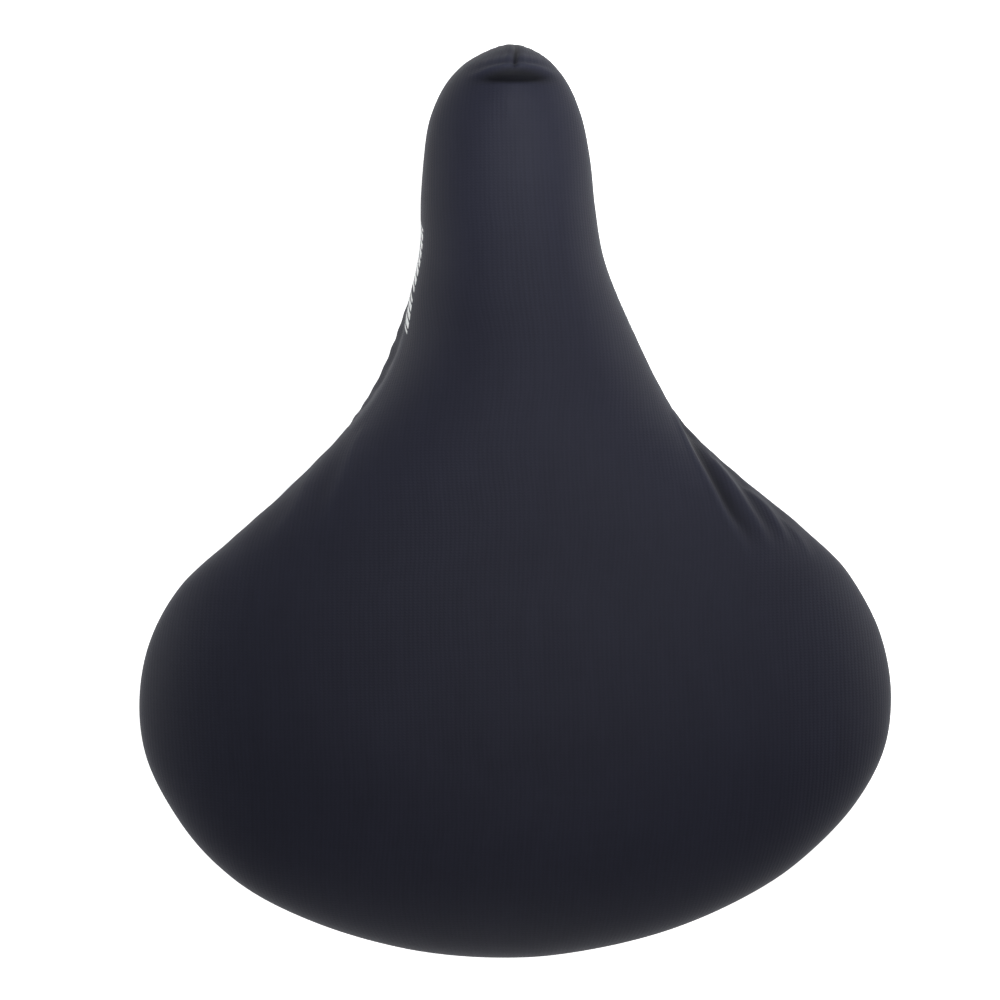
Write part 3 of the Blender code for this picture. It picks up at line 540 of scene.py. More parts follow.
def add(t, kind, inputs=None, **attrs):
    n = t.nodes.new(kind)
    for k, v in attrs.items():
        setattr(n, k, v)
    for k, v in (inputs or {}).items():
        if isinstance(v, bpy.types.NodeSocket):
            t.links.new(v, n.inputs[k])
        else:
            n.inputs[k].default_value = v
    return n


def calc(t, op, a, b=0.0, c=None, clamp=False):
    n = t.nodes.new("ShaderNodeMath")
    n.operation, n.use_clamp = op, clamp
    for k, v in enumerate([a, b] + ([c] if c is not None else [])):
        if isinstance(v, bpy.types.NodeSocket):
            t.links.new(v, n.inputs[k])
        else:
            n.inputs[k].default_value = v
    return n.outputs[0]


def between(t, value, lo, hi, soft):
    """1 where lo < value < hi, with edges `soft` wide."""
    up = add(t, "ShaderNodeMapRange", {"Value": value, "From Min": lo - soft, "From Max": lo + soft}, interpolation_type="SMOOTHSTEP").outputs[0]
    down = add(t, "ShaderNodeMapRange", {"Value": value, "From Min": hi - soft, "From Max": hi + soft, "To Min": 1.0, "To Max": 0.0}, interpolation_type="SMOOTHSTEP").outputs[0]
    return calc(t, "MULTIPLY", up, down)


def mix_colour(t, share, a, b):
    n = t.nodes.new("ShaderNodeMix")
    n.data_type = "RGBA"
    for sock, v in ((n.inputs[0], share), (n.inputs[6], a), (n.inputs[7], b)):
        if isinstance(v, bpy.types.NodeSocket):
            t.links.new(v, sock)
        else:
            sock.default_value = v if not isinstance(v, tuple) else (*v, 1.0)[:4]
    return n.outputs[2]


def noise(t, scale, detail=3.0, rough=0.5, vector=None, distortion=0.0):
    n = add(t, "ShaderNodeTexNoise", {"Scale": scale, "Detail": detail, "Roughness": rough, "Distortion": distortion})
    if vector is None:
        vector = add(t, "ShaderNodeTexCoord").outputs["Object"]
    t.links.new(vector, n.inputs["Vector"])
    return n.outputs["Fac"]


def span(t, value, lo, hi, to_lo=0.0, to_hi=1.0):
    return add(t, "ShaderNodeMapRange", {"Value": value, "From Min": lo, "From Max": hi, "To Min": to_lo, "To Max": to_hi}).outputs[0]


def bump(t, height_socket, distance, strength=1.0, normal=None):
    n = add(t, "ShaderNodeBump", {"Height": height_socket, "Distance": distance, "Strength": strength})
    if normal is not None:
        t.links.new(normal, n.inputs["Normal"])
    return n.outputs["Normal"]


# ---------------------------------------------------------------- stretch knit
FABRIC_DARK = (0.0084, 0.0088, 0.0149)
FABRIC_LIGHT = (0.0143, 0.0150, 0.0252)
PRINT_WHITE = (0.56, 0.57, 0.57)


def fabric_material():
    """Warp-knit stretch fabric: fine ribs that run nose to tail, in small courses, with a soft sheen, and a
    printed flash of slanted bars on each side of the nose. The attribute "knit" holds the place on the
    cloth as it was cut, in mm: across, along, and down from the widest line."""
    m, t, bsdf = node_material("stretch_fabric")
    knit = add(t, "ShaderNodeAttribute", attribute_name="knit").outputs["Vector"]
    xyz = add(t, "ShaderNodeSeparateXYZ", {"Vector": knit})
    u, v, w = xyz.outputs
    wander = noise(t, 0.035, 2.0, 0.5, knit)
    u2 = calc(t, "ADD", u, calc(t, "MULTIPLY", wander, 1.6))
    rib = calc(t, "SINE", calc(t, "MULTIPLY", u2, 2 * math.pi / 1.32))
    rib01 = calc(t, "MULTIPLY_ADD", rib, 0.5, 0.5)
    half = calc(t, "ABSOLUTE", calc(t, "SINE", calc(t, "MULTIPLY", u2, math.pi / 1.32)))
    loops = calc(t, "SINE", calc(t, "MULTIPLY_ADD", v, 2 * math.pi / 0.86, calc(t, "MULTIPLY", half, 2.2)))
    loops01 = calc(t, "MULTIPLY_ADD", loops, 0.5, 0.5)
    yarn = noise(t, 2.6, 3.0, 0.65, knit)
    streak = noise(t, 1.0, 2.0, 0.5, add(t, "ShaderNodeVectorMath", {0: knit, 1: (0.9, 0.05, 0.05)}, operation="MULTIPLY").outputs[0])
    cloud = noise(t, 0.022, 3.0, 0.55, knit)
    weave = calc(t, "MULTIPLY_ADD", rib01, 0.30, calc(t, "MULTIPLY", loops01, 0.22))
    weave = calc(t, "MULTIPLY_ADD", yarn, 0.64, weave)
    tone = calc(t, "MULTIPLY_ADD", weave, 0.55, calc(t, "MULTIPLY", cloud, 0.42))
    tone = calc(t, "MULTIPLY_ADD", streak, 0.28, tone)
    cloth = mix_colour(t, span(t, tone, 0.30, 0.95), FABRIC_DARK, FABRIC_LIGHT)
    # pulled tight over a ridge the cloth is paler, slack in a hollow it is darker
    # painted light: the cloth is painted darker where shade falls in the hollows of the folds and the nose, and paler
    # as a painted highlight on their ridges and lips
    painted_light = add(t, "ShaderNodeAttribute", attribute_name="painted_light").outputs["Fac"]
    cloth = mix_colour(t, span(t, painted_light, 0.0, -1.5, 0.0, 0.86), cloth, (0.0016, 0.0016, 0.0026))
    cloth = mix_colour(t, span(t, painted_light, 0.0, 0.7, 0.0, 0.55), cloth, (0.030, 0.032, 0.047))
    # the print: plain slanted stripes in two runs, in a band round the widest line
    w = calc(t, "ADD", w, span(t, u, -5.0, 5.0, 0.0, -2.2))  # the right one sits 2 mm lower
    w = calc(t, "ADD", w, calc(t, "MULTIPLY_ADD", v, -0.10, 7.0))
    slant = calc(t, "MULTIPLY_ADD", w, -0.75, v)
    band = between(t, w, -7.3, 1.6, 0.10)
    runs = calc(t, "MAXIMUM", between(t, slant, 59.0, 69.4, 0.10), between(t, slant, 71.5, 90.0, 0.10))
    phase = calc(t, "FRACT", calc(t, "DIVIDE", slant, 2.6))
    bars = calc(t, "MULTIPLY", calc(t, "MULTIPLY", between(t, phase, 0.30, 1.2, 0.05), band), runs)
    worn = span(t, noise(t, 0.9, 4.0, 0.6, knit), 0.30, 0.44)
    mark = calc(t, "MULTIPLY", bars, worn, clamp=True)
    colour = mix_colour(t, mark, cloth, PRINT_WHITE)
    t.links.new(colour, bsdf.inputs["Base Color"])
    rough = calc(t, "MULTIPLY_ADD", yarn, 0.14, 0.55)
    rough = calc(t, "MULTIPLY_ADD", mark, -0.12, rough)
    t.links.new(rough, bsdf.inputs["Roughness"])
    bsdf.inputs["Specular IOR Level"].default_value = 0.10
    bsdf.inputs["Sheen Weight"].default_value = 0.012
    bsdf.inputs["Sheen Roughness"].default_value = 0.35
    bsdf.inputs["Sheen Tint"].default_value = (0.80, 0.86, 1.0, 1.0)
    relief = calc(t, "MULTIPLY", weave, calc(t, "MULTIPLY_ADD", mark, -0.6, 1.0))
    t.links.new(bump(t, relief, 0.00016, 0.48), bsdf.inputs["Normal"])
    return m


def foam_material():
    m, t, bsdf = node_material("foam")
    cells = add(t, "ShaderNodeTexVoronoi", {"Vector": add(t, "ShaderNodeTexCoord").outputs["Object"], "Scale": 1300.0}).outputs["Distance"]
    tint = noise(t, 40.0, 4.0, 0.6)
    t.links.new(mix_colour(t, span(t, tint, 0.3, 0.7), (0.60, 0.55, 0.42), (0.70, 0.66, 0.54)), bsdf.inputs["Base Color"])
    bsdf.inputs["Roughness"].default_value = 0.92
    t.links.new(bump(t, cells, 0.0004, 0.7), bsdf.inputs["Normal"])
    return m


def plastic_material():
    """Moulded polypropylene: fine spark texture, flow marks and a few pale scuffs on raised edges."""
    m, t, bsdf = node_material("black_plastic")
    grain = noise(t, 2600.0, 2.0, 0.7)
    flow = noise(t, 22.0, 4.0, 0.6, distortion=1.2)
    dust = noise(t, 160.0, 5.0, 0.7)
    edge = add(t, "ShaderNodeNewGeometry").outputs["Pointiness"]
    scuff = calc(t, "MULTIPLY", span(t, edge, 0.53, 0.60), span(t, dust, 0.45, 0.62), clamp=True)
    base = mix_colour(t, span(t, flow, 0.3, 0.7), (0.013, 0.013, 0.014), (0.021, 0.021, 0.022))
    t.links.new(mix_colour(t, calc(t, "MULTIPLY", scuff, 0.5), base, (0.075, 0.075, 0.075)), bsdf.inputs["Base Color"])
    t.links.new(calc(t, "MULTIPLY_ADD", flow, 0.16, calc(t, "MULTIPLY_ADD", dust, 0.18, 0.30)), bsdf.inputs["Roughness"])
    bsdf.inputs["Specular IOR Level"].default_value = 0.42
    t.links.new(bump(t, grain, 0.00008, 0.5, bump(t, flow, 0.0006, 0.12)), bsdf.inputs["Normal"])
    return m


def painted_steel(name, low, high, rough, chips=0.56, bare=(0.30, 0.29, 0.28)):
    """Black coated steel: faint orange peel, thin wear on edges and a little grime."""
    m, t, bsdf = node_material(name)
    peel = noise(t, 900.0, 2.0, 0.5)
    patch = noise(t, 55.0, 5.0, 0.65)
    fine = noise(t, 620.0, 5.0, 0.7)
    edge = add(t, "ShaderNodeNewGeometry").outputs["Pointiness"]
    wear = calc(t, "MULTIPLY", span(t, edge, chips, chips + 0.05), span(t, fine, 0.46, 0.56), clamp=True)
    base = mix_colour(t, span(t, patch, 0.35, 0.7), low, high)
    t.links.new(mix_colour(t, wear, base, bare), bsdf.inputs["Base Color"])
    t.links.new(calc(t, "MULTIPLY", wear, 0.9), bsdf.inputs["Metallic"])
    t.links.new(calc(t, "MULTIPLY_ADD", patch, 0.22, rough - 0.10), bsdf.inputs["Roughness"])
    bsdf.inputs["Specular IOR Level"].default_value = 0.5
    bsdf.inputs["Coat Weight"].default_value = 0.25
    bsdf.inputs["Coat Roughness"].default_value = 0.22
    t.links.new(bump(t, peel, 0.00005, 0.35, bump(t, wear, 0.00006, 0.6)), bsdf.inputs["Normal"])
    return m


def zinc_material(name="zinc_steel", warm=0.0, tone=1.0):
    """Bright zinc plate: cool metal with a faint straw cast, drawn scratches, dull patches and grime in corners."""
    m, t, bsdf = node_material(name)
    coord = add(t, "ShaderNodeTexCoord").outputs["Object"]
    drawn = noise(t, 90.0, 6.0, 0.7, add(t, "ShaderNodeVectorMath", {0: coord, 1: (1.0, 14.0, 9.0)}, operation="MULTIPLY").outputs[0])
    patch = noise(t, 75.0, 4.0, 0.6)
    crystal = add(t, "ShaderNodeTexVoronoi", {"Vector": coord, "Scale": 420.0}).outputs["Color"]
    edge = add(t, "ShaderNodeNewGeometry").outputs["Pointiness"]
    grime = calc(t, "MULTIPLY", span(t, edge, 0.49, 0.44), span(t, patch, 0.35, 0.6), clamp=True)
    base = mix_colour(t, span(t, patch, 0.3, 0.7), tuple(tone * c for c in (0.29 + warm, 0.29, 0.30)), tuple(tone * c for c in (0.40 + warm, 0.395, 0.375)))
    base = mix_colour(t, 0.04, base, crystal)
    t.links.new(mix_colour(t, calc(t, "MULTIPLY", grime, 0.7), base, (0.07, 0.065, 0.06)), bsdf.inputs["Base Color"])
    bsdf.inputs["Metallic"].default_value = 1.0
    t.links.new(calc(t, "MULTIPLY_ADD", drawn, 0.20, calc(t, "MULTIPLY_ADD", patch, 0.14, 0.17)), bsdf.inputs["Roughness"])
    t.links.new(bump(t, drawn, 0.00003, 0.5), bsdf.inputs["Normal"])
    return m


FABRIC, FOAM, PLASTIC = fabric_material(), foam_material(), plastic_material()
BLACK_STEEL = painted_steel("black_steel", (0.012, 0.012, 0.013), (0.022, 0.022, 0.023), 0.34)
SPRING_STEEL = painted_steel("spring_steel", (0.010, 0.010, 0.011), (0.026, 0.025, 0.025), 0.30, chips=0.545, bare=(0.24, 0.23, 0.22))
ZINC = zinc_material()
STAPLE = zinc_material("staple_wire", 0.02, 0.55)
FINISH = {"stretch_fabric": FABRIC, "foam": FOAM, "black_plastic": PLASTIC, "black_steel": BLACK_STEEL, "spring_steel": SPRING_STEEL, "zinc_steel": ZINC}


def finish_as(obj, slot, body, *nodes, mat=None):
    obj.data.materials.clear()
    obj.data.materials.append(mat or FINISH[slot])
    if body:
        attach(obj, body)
    if nodes:
        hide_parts(*nodes)
    return obj


# ================================================================ the cover
# How far the real, hand-pulled cover sits to one side of a symmetric one: (y, shift to the right) for the
# left and the right flank
LEAN_LEFT = [(-133, -1.2), (-120, -2.4), (-105, -1.7), (-90, -0.5), (-60, -0.3), (-25, -0.3), (0, 0.7), (10, 0.3), (20, 0.1), (28, 1.0), (35, 1.7), (43, 2.0), (50, 1.8), (64, -0.4), (82, -0.4), (90, -0.8), (100, -0.5), (120, -0.7), (131, 0.6), (137, 1.5)]
LEAN_RIGHT = [(-133, -3.1), (-120, -2.4), (-105, -1.7), (-90, -0.5), (-60, -0.3), (-40, -0.35), (-25, -0.1), (-16, 0.8), (-7, 1.5), (2, 1.4), (12, 1.3), (22, 1.4), (28, 1.6), (35, 2.4), (43, 2.8), (50, 2.7), (64, 1.8), (82, 0.2), (100, -0.8), (120, -0.6), (131, -0.4), (137, 0.8)]

# Folds pulled into the skirt where the wings meet the nose, in plan (x, y), from the edge inwards
RIGHT_FOLDS = [
    # points, ridge height, hollow depth, width
    ([(47.0, 26.5), (49.2, 21.6), (52.5, 14.3), (55.2, 8.9), (58.6, 1.6), (61.6, -4.7), (64.9, -9.8), (67.5, -14.0)], 0.55, 1.35, 1.75),
    ([(59.0, 12.5), (62.2, 8.5), (65.4, 3.6), (68.4, -2.0), (71.6, -7.8), (74.0, -13.0)], 0.34, 0.80, 1.55),
    ([(68.5, 4.0), (73.8, -1.2), (77.2, -6.8), (80.5, -13.0)], 0.26, 0.50, 1.45),
    ([(79.0, -5.5), (84.0, -11.5), (88.0, -18.0)], 0.16, 0.30, 1.5),
]
LEFT_FOLDS = [
    ([(-33.0, 55.0), (-37.5, 43.0), (-44.0, 31.0), (-51.5, 21.5)], 0.30, 0.45, 1.9),
    ([(-47.0, 22.0), (-53.0, 9.0), (-60.0, -4.0)], 0.12, 0.26, 2.2),
    ([(-62.0, 10.0), (-68.0, 0.0), (-76.0, -10.0)], 0.10, 0.24, 2.2),
]


def spline_points(points, per=12):
    p = [Vector(q) for q in points]
    p = [2 * p[0] - p[1]] + p + [2 * p[-1] - p[-2]]
    out = []
    for a, b, c, d in zip(p, p[1:], p[2:], p[3:]):
        for k in range(per):
            u = k / per
            out.append(0.5 * ((2 * b) + (c - a) * u + (2 * a - 5 * b + 4 * c - d) * u * u + (3 * b - a - 3 * c + d) * u**3))
    return np.array([tuple(q) for q in out] + [tuple(p[-2])])


def along_line(line, xy):
    """For each point: signed distance to a plan line (positive to its left) and the share of its length."""
    best = np.full(len(xy), 1e9)
    sign = np.zeros(len(xy))
    share = np.zeros(len(xy))
    seg = line[1:] - line[:-1]
    lens = np.linalg.norm(seg, axis=1)
    start = np.concatenate([[0], np.cumsum(lens)])
    for k in range(len(seg)):
        rel = xy - line[k]
        u = rel @ seg[k] / lens[k] ** 2
        uc = np.clip(u, 0, 1)
        d = rel - uc[:, None] * seg[k]
        dist = np.hypot(d[:, 0], d[:, 1])
        near = dist < best
        best[near] = dist[near]
        sign[near] = np.sign(seg[k][0] * rel[near, 1] - seg[k][1] * rel[near, 0])
        over = u[near] if k in (0, len(seg) - 1) else uc[near]
        share[near] = (start[k] + over * lens[k]) / start[-1]
    return best * np.where(sign == 0, 1, sign), share


def fold_relief(xy, folds, outwards):
    """How far the cloth stands out (or in) along its normal. `outwards` is the sign of the side away from the middle."""
    total = np.zeros(len(xy))
    for points, ridge, hollow, width in folds:
        line = spline_points(points)
        lo, hi = line.min(0) - 14, line.max(0) + 14
        near = np.all((xy > lo) & (xy < hi), axis=1)
        d, s = along_line(line, xy[near])
        d = d * outwards
        grow = 0.85 + 0.35 * np.clip(s, 0, 1)
        ends = smoothstep(-0.30, 0.10, s) * (1 - smoothstep(0.60, 1.12, s))
        w = width * grow
        shape = ridge * np.exp(-((d + 0.25 * w) / (0.50 * w)) ** 2) - hollow * np.exp(-((d - 1.25 * w) / (1.05 * w)) ** 2)
        total[near] += shape * ends
    return total


def lean(x, y, share):
    """The cover's sideways lean at points, fading out towards the rim."""
    side = 0.5 + 0.5 * np.tanh(x / 12.0)
    return (table(LEAN_LEFT, y) * (1 - side) + table(LEAN_RIGHT, y) * side) * share


def hash_noise(p, scale, seed):
    """Smooth value noise in -1..1 at points in mm, the same on every run."""
    q = np.asarray(p, float) / scale + seed * 17.3
    i = np.floor(q).astype(np.int64)
    f = q - i
    f = f * f * (3 - 2 * f)
    total = np.zeros(len(q))
    for corner in range(8):
        o = np.array([(corner >> b) & 1 for b in range(3)])
        c = i + o
        h = (c[:, 0] * 73856093) ^ (c[:, 1] * 19349663) ^ (c[:, 2] * 83492791) ^ (seed * 2654435761)
        h = ((h * 1103515245 + 12345) >> 8) & 0xFFFF
        w = np.prod(np.where(o == 1, f, 1 - f), axis=1)
        total += w * (h / 32767.5 - 1.0)
    return total


NOSE_DART_X, HOLLOW_Y = 1.4, 127.3


def cover_points(st, grid_r, grid_z, steps, folded=True):
    """The cover's outside as a full loop with all its pulls, folds and gathers. `steps` is how many profile
    points come before the widest line. The foam below takes the plain form, not folded."""
    grid = st.points(grid_r, grid_z)
    verts, loop = full_loop(grid)
    # each vertex's own section numbers
    def spread(a):
        a = np.broadcast_to(a, grid.shape[:2])
        whole = np.concatenate([a, a[-2:0:-1]], 0)
        out = np.zeros(len(verts))
        out[loop] = whole
        return out

    edge, rim = spread(st.edge), spread(st.rim)
    drop = spread(np.broadcast_to(st.edge - st.rim, grid.shape[:2]))
    way_x, way_y, foot = spread(st.way[:, :1]), spread(st.way[:, 1:]), spread(st.foot_y)
    # unrolled length along each section, which places the knit
    step = np.hypot(np.diff(grid_r, axis=1), np.diff(grid_z, axis=1))
    arc = np.concatenate([np.zeros((st.n, 1)), np.cumsum(step, axis=1)], 1)
    down = arc - arc[:, steps : steps + 1]
    arc, down = spread(arc), spread(down)
    side = np.ones(len(verts))
    side[verts[:, 0] < -1e-9] = -1.0
    knit = np.stack([side * way_x * arc, foot + way_y * arc, down], 1)
    normal = grid_normals(verts, loop)
    level = smoothstep(0.0, 1.0, (verts[:, 2] - rim - 1.0) / np.maximum(drop * 0.8, 1.0))
    x, y, z = verts.T
    above = smoothstep(0.5, 6.0, z - edge)
    relief = fold_relief(verts[:, :2], RIGHT_FOLDS, 1.0) * (x > 0) * above
    relief += fold_relief(verts[:, :2], LEFT_FOLDS, -1.0) * (x < 0) * above
    # painted light: fold ridges are marked for a painted highlight and fold hollows for painted shade in the cloth's
    # colour
    painted_light = 0.85 * relief
    # the skirt is drawn in a little between shoulder and rim where the waist curves in
    waist = np.exp(-(((y - 28.0) / 34.0) ** 2)) * (np.abs(x) > 15)
    below = np.clip((edge + 4.0 - z) / np.maximum(edge + 4.0 - rim, 1.0), 0, 1)
    relief -= 0.55 * waist * np.sin(np.pi * below) ** 2 * (z > rim + 0.5)
    # gathers in the skirt below the shoulder, finer and shallower towards the wings
    gathers = np.sin(2 * np.pi * (knit[:, 1] / 7.3 + 0.4 * hash_noise(verts, 21.0, 3)))
    relief += 0.16 * waist * gathers * np.sin(np.pi * below) * (z > rim + 0.5)
    # nose tip: a dart up the front, its two puckered lips and the hollow behind them
    out_x = x - NOSE_DART_X
    front = smoothstep(129.6, 131.6, y) * smoothstep(66.0, 74.0, z)
    crest = smoothstep(edge + 1.0, edge + 9.0, z)
    dart = front * np.exp(-((out_x / 0.62) ** 2))
    relief -= (0.06 + 0.95 * crest) * dart
    relief += 0.30 * crest * front * np.exp(-(((np.abs(out_x) - 2.1) / 1.5) ** 2))
    # the hollow is a lens, and the lips follow its front edge
    ahead = y - HOLLOW_Y + 0.0085 * out_x**2
    ring = np.sqrt((ahead / 1.75) ** 2 + ((out_x - 0.4) / 9.2) ** 2)
    high = smoothstep(80.0, 88.0, z)
    hollow = np.exp(-0.9 * ring**4) * high
    lip = np.exp(-(((ring - 1.62) / 0.40) ** 2)) * smoothstep(0.2, 1.6, ahead) * high * np.exp(-((out_x / 11.0) ** 4))
    second = np.exp(-(((ring - 3.0) / 0.55) ** 2)) * smoothstep(2.0, 3.6, ahead) * high * np.exp(-((out_x / 10.0) ** 4))
    split = 1.0 - 0.85 * np.exp(-((out_x / 1.0) ** 2))
    relief += (0.60 * lip + 0.25 * second) * split - 1.15 * hollow
    # painted light: a painted highlight on the nose lips, and painted shade in the hollow behind them and down the dart
    painted_light += (0.60 * lip + 0.45 * second) * split - 1.9 * np.exp(-0.55 * ring**4) * high - 1.3 * crest * dart
    pucker = np.sin(2 * np.pi * (np.abs(out_x) / 2.3 + 0.5 * hash_noise(verts, 6.0, 5)))
    relief += 0.10 * pucker * front * np.exp(-((out_x / 9.0) ** 2)) * smoothstep(1.0, 2.5, np.abs(out_x))
    # the cloth is never quite even
    top = smoothstep(-2.0, 6.0, z - edge)
    relief += 0.10 * top * hash_noise(verts, 34.0, 1) + 0.05 * hash_noise(verts, 13.0, 2) * smoothstep(rim + 2, rim + 8, z)
    # short gathers where the cloth turns under the rim
    turn = np.exp(-(((z - rim - 1.0) / 4.0) ** 2)) * smoothstep(-1.5, 2.0, z - rim)
    along = np.where(np.abs(way_y) > 0.7, x, y)
    relief += 0.13 * turn * np.sin(2 * np.pi * (along / 5.2 + 0.8 * hash_noise(verts, 18.0, 4)))
    if not folded:
        relief = np.minimum(relief, 0.0) * 1.0 - 0.25
    moved_to = verts + normal * relief[:, None]
    # the nose comes to a slightly rounder point than its section, and the whole cover leans
    tip = smoothstep(131.0, 137.0, y)
    moved_to[:, 0] *= 1.0 - 0.10 * tip * level
    moved_to[:, 0] += lean(x, y, level)
    moved_to[:, 1] += 0.35 * smoothstep(4.0, 26.0, x) * smoothstep(122.0, 134.0, -y) * level
    # the hem's cut edge wanders
    hem = (below > 0.999) & (z > rim + 2.0)
    moved_to[:, 2] += np.where(hem, 0.5 * hash_noise(verts, 9.0, 6) * smoothstep(rim + 2.0, rim + 5.0, z), 0.0)
    return moved_to, loop, knit, painted_light


def build_cover(n=460):
    st = Stations(n)
    steps, side = 72, 20
    cr, cz = crown_path(st, steps, side)
    rr, rz = rim_path(st)
    r, z = np.concatenate([cr, rr], 1), np.concatenate([cz, rz], 1)
    verts, loop, knit, painted_light = cover_points(st, r, z, steps)
    normal = grid_normals(verts, loop)
    return st, verts, loop, knit, painted_light, normal


def set_vector(obj, name, values):
    a = obj.data.attributes.new(name, "FLOAT_VECTOR", "POINT")
    a.data.foreach_set("vector", np.asarray(values, np.float32).ravel())


st, skin, loop, knit, painted_light, skin_normal = build_cover()
last = loop.shape[1] - 1
# the lining side: every third row of the outside, 0.8 mm in, running back from the hem's edge
back_cols = [0] + list(range(6, last, 3)) + [last]
inner_ids = np.unique(loop[:, back_cols])
inner_of = np.full(len(skin), -1)
inner_of[inner_ids] = len(skin) + np.arange(len(inner_ids))
cover_verts = np.concatenate([skin, skin[inner_ids] - 0.8 * skin_normal[inner_ids]])
faces = loop_faces(loop)
faces += loop_faces(inner_of[loop[:, back_cols]], flip=True)
edge_a = loop[:, last]
edge_b = inner_of[edge_a]
faces += [[int(edge_a[k]), int(edge_b[k]), int(edge_b[(k + 1) % len(edge_a)]), int(edge_a[(k + 1) % len(edge_a)])] for k in range(len(edge_a))]
cover = new_object("stretch_cover", cover_verts, faces)
set_vector(cover, "knit", np.concatenate([knit, knit[inner_ids]]))
# painted light: this layer carries the painted shade and painted highlight for the cloth's colour
painted_light_layer = cover.data.attributes.new("painted_light", "FLOAT", "POINT")
painted_light_layer.data.foreach_set("value", np.concatenate([painted_light, 0.0 * inner_ids]).astype(np.float32))
shade(cover)
finish_as(cover, "stretch_fabric", "saddle_top", "cover")

# ================================================================ the foam pad
fst_at = 150
fst = Stations(fst_at)
fr, fz = crown_path(fst, 34, 9)
fverts, floop = cover_points(fst, fr, fz, 34, folded=False)[:2]
fnormal = grid_normals(fverts, floop)
fverts = fverts - 1.3 * fnormal
(up_r, up_z), _ = base_paths(fst, 16)
under = fst.points(np.minimum(up_r + 0.6 * (np.arange(up_r.shape[1]) > 16)[None, :], up_r[:, -1:] + 0.6), up_z + 0.6 * (np.arange(up_r.shape[1]) <= 22)[None, :])
uverts, uloop = full_loop(under)
keep = floop.shape[1] - 1
foam_verts = np.concatenate([fverts, uverts])
foam_faces = loop_faces(floop) + loop_faces(uloop + len(fverts), flip=True)
ring_a, ring_b = floop[:, -1], uloop[:, -1] + len(fverts)
foam_faces += [[int(ring_a[k]), int(ring_b[k]), int(ring_b[(k + 1) % len(ring_a)]), int(ring_a[(k + 1) % len(ring_a)])] for k in range(len(ring_a))]
foam = shade(new_object("moulded_foam", foam_verts, foam_faces), 50)
finish_as(foam, "foam", "saddle_top", "foam_pad")


# ================================================================ the moulded base
bst = Stations(150)
(tr, tz), (lr, lz) = base_paths(bst, 22)
top_verts, top_loop = full_loop(bst.points(tr, tz))
low_verts, low_loop = full_loop(bst.points(lr, lz))
base_verts = np.concatenate([top_verts, low_verts])
base_faces = loop_faces(top_loop) + loop_faces(low_loop + len(top_verts), flip=True)
ra, rb = top_loop[:, -1], low_loop[:, -1] + len(top_verts)
base_faces += [[int(ra[k]), int(rb[k]), int(rb[(k + 1) % len(ra)]), int(ra[(k + 1) % len(ra)])] for k in range(len(ra))]
base = new_object("moulded_base", base_verts, base_faces)

underside = BVHTree.FromPolygons([Vector(v) for v in low_verts.tolist()], loop_faces(low_loop))


def roof(x, y):
    """Height of the base's underside over a plan point, or None past its edge."""
    hit = underside.ray_cast(Vector((x, y, 0.0)), Vector((0, 0, 1)))[0]
    return None if hit is None or hit.z < 57.0 else hit.z


def rib(name, line, depth=6.0, thick=1.8, fade=10.0):
    """A moulded rib under the base along a plan line; it grows out of the wall and fades at both ends."""
    pts = []
    for a, b in zip(line, line[1:]):
        n = max(2, int(math.hypot(b[0] - a[0], b[1] - a[1]) / 3.0))
        pts += [(a[0] + (b[0] - a[0]) * k / n, a[1] + (b[1] - a[1]) * k / n) for k in range(n)]
    pts.append(line[-1])
    pts = [(x, y, roof(x, y)) for x, y in pts]
    pts = [p for p in pts if p[2] is not None]
    p = np.array(pts)
    d = np.concatenate([[0], np.cumsum(np.hypot(*np.diff(p[:, :2], axis=0).T))])
    t = np.gradient(p[:, :2], axis=0)
    t /= np.linalg.norm(t, axis=1, keepdims=True)
    side = np.stack([-t[:, 1], t[:, 0]], 1)
    drop = depth * np.minimum(1.0, np.minimum(d, d[-1] - d) / fade) ** 0.6
    verts = []
    for k in range(len(p)):
        hi, lo = p[k, 2] + 1.4, p[k, 2] - max(drop[k], 0.05)
        for s, z, w in ((-1, hi, thick / 2 + 0.3), (1, hi, thick / 2 + 0.3), (1, lo + 0.4, thick / 2), (1, lo, thick / 2 - 0.4), (-1, lo, thick / 2 - 0.4), (-1, lo + 0.4, thick / 2)):
            verts.append((p[k, 0] + s * w * side[k, 0], p[k, 1] + s * w * side[k, 1], z))
    faces = []
    for k in range(len(p) - 1):
        for j in range(6):
            a, b = k * 6 + j, k * 6 + (j + 1) % 6
            faces.append([a, b, b + 6, a + 6])
    faces += [list(range(6))[::-1], [(len(p) - 1) * 6 + j for j in range(6)]]
    return fix_normals(new_object(name, verts, faces))


ribs = []
for s in (1, -1):
    ribs.append(rib("rib", [(s * 11.0, -122.0), (s * 11.0, 60.0)], 6.5))
    ribs.append(rib("rib", [(s * 30.0, -117.0), (s * 30.0, -20.0), (s * 19.0, 40.0)], 5.5))
    ribs.append(rib("rib", [(s * 59.0, -92.0), (s * 98.0, -79.0)], 6.0))
    ribs.append(rib("rib", [(s * 57.0, -99.0), (s * 78.0, -108.0)], 5.0))
    ribs.append(rib("rib", [(s * 54.0, -82.0), (s * 100.0, -52.0)], 5.5))
    ribs.append(rib("rib", [(s * 48.0, -79.0), (s * 84.0, -26.0)], 5.5))
for y, half in ((-108.0, 70.0), (-64.0, 62.0), (-36.0, 62.0), (-8.0, 66.0), (16.0, 48.0), (38.0, 32.0), (60.0, 22.0)):
    ribs.append(rib("rib", [(-half, y), (half, y)], 5.5 if abs(y) > 20 else 6.5))
ribs = joined("ribs", ribs)
boolean(base, ribs, "UNION", own=True)

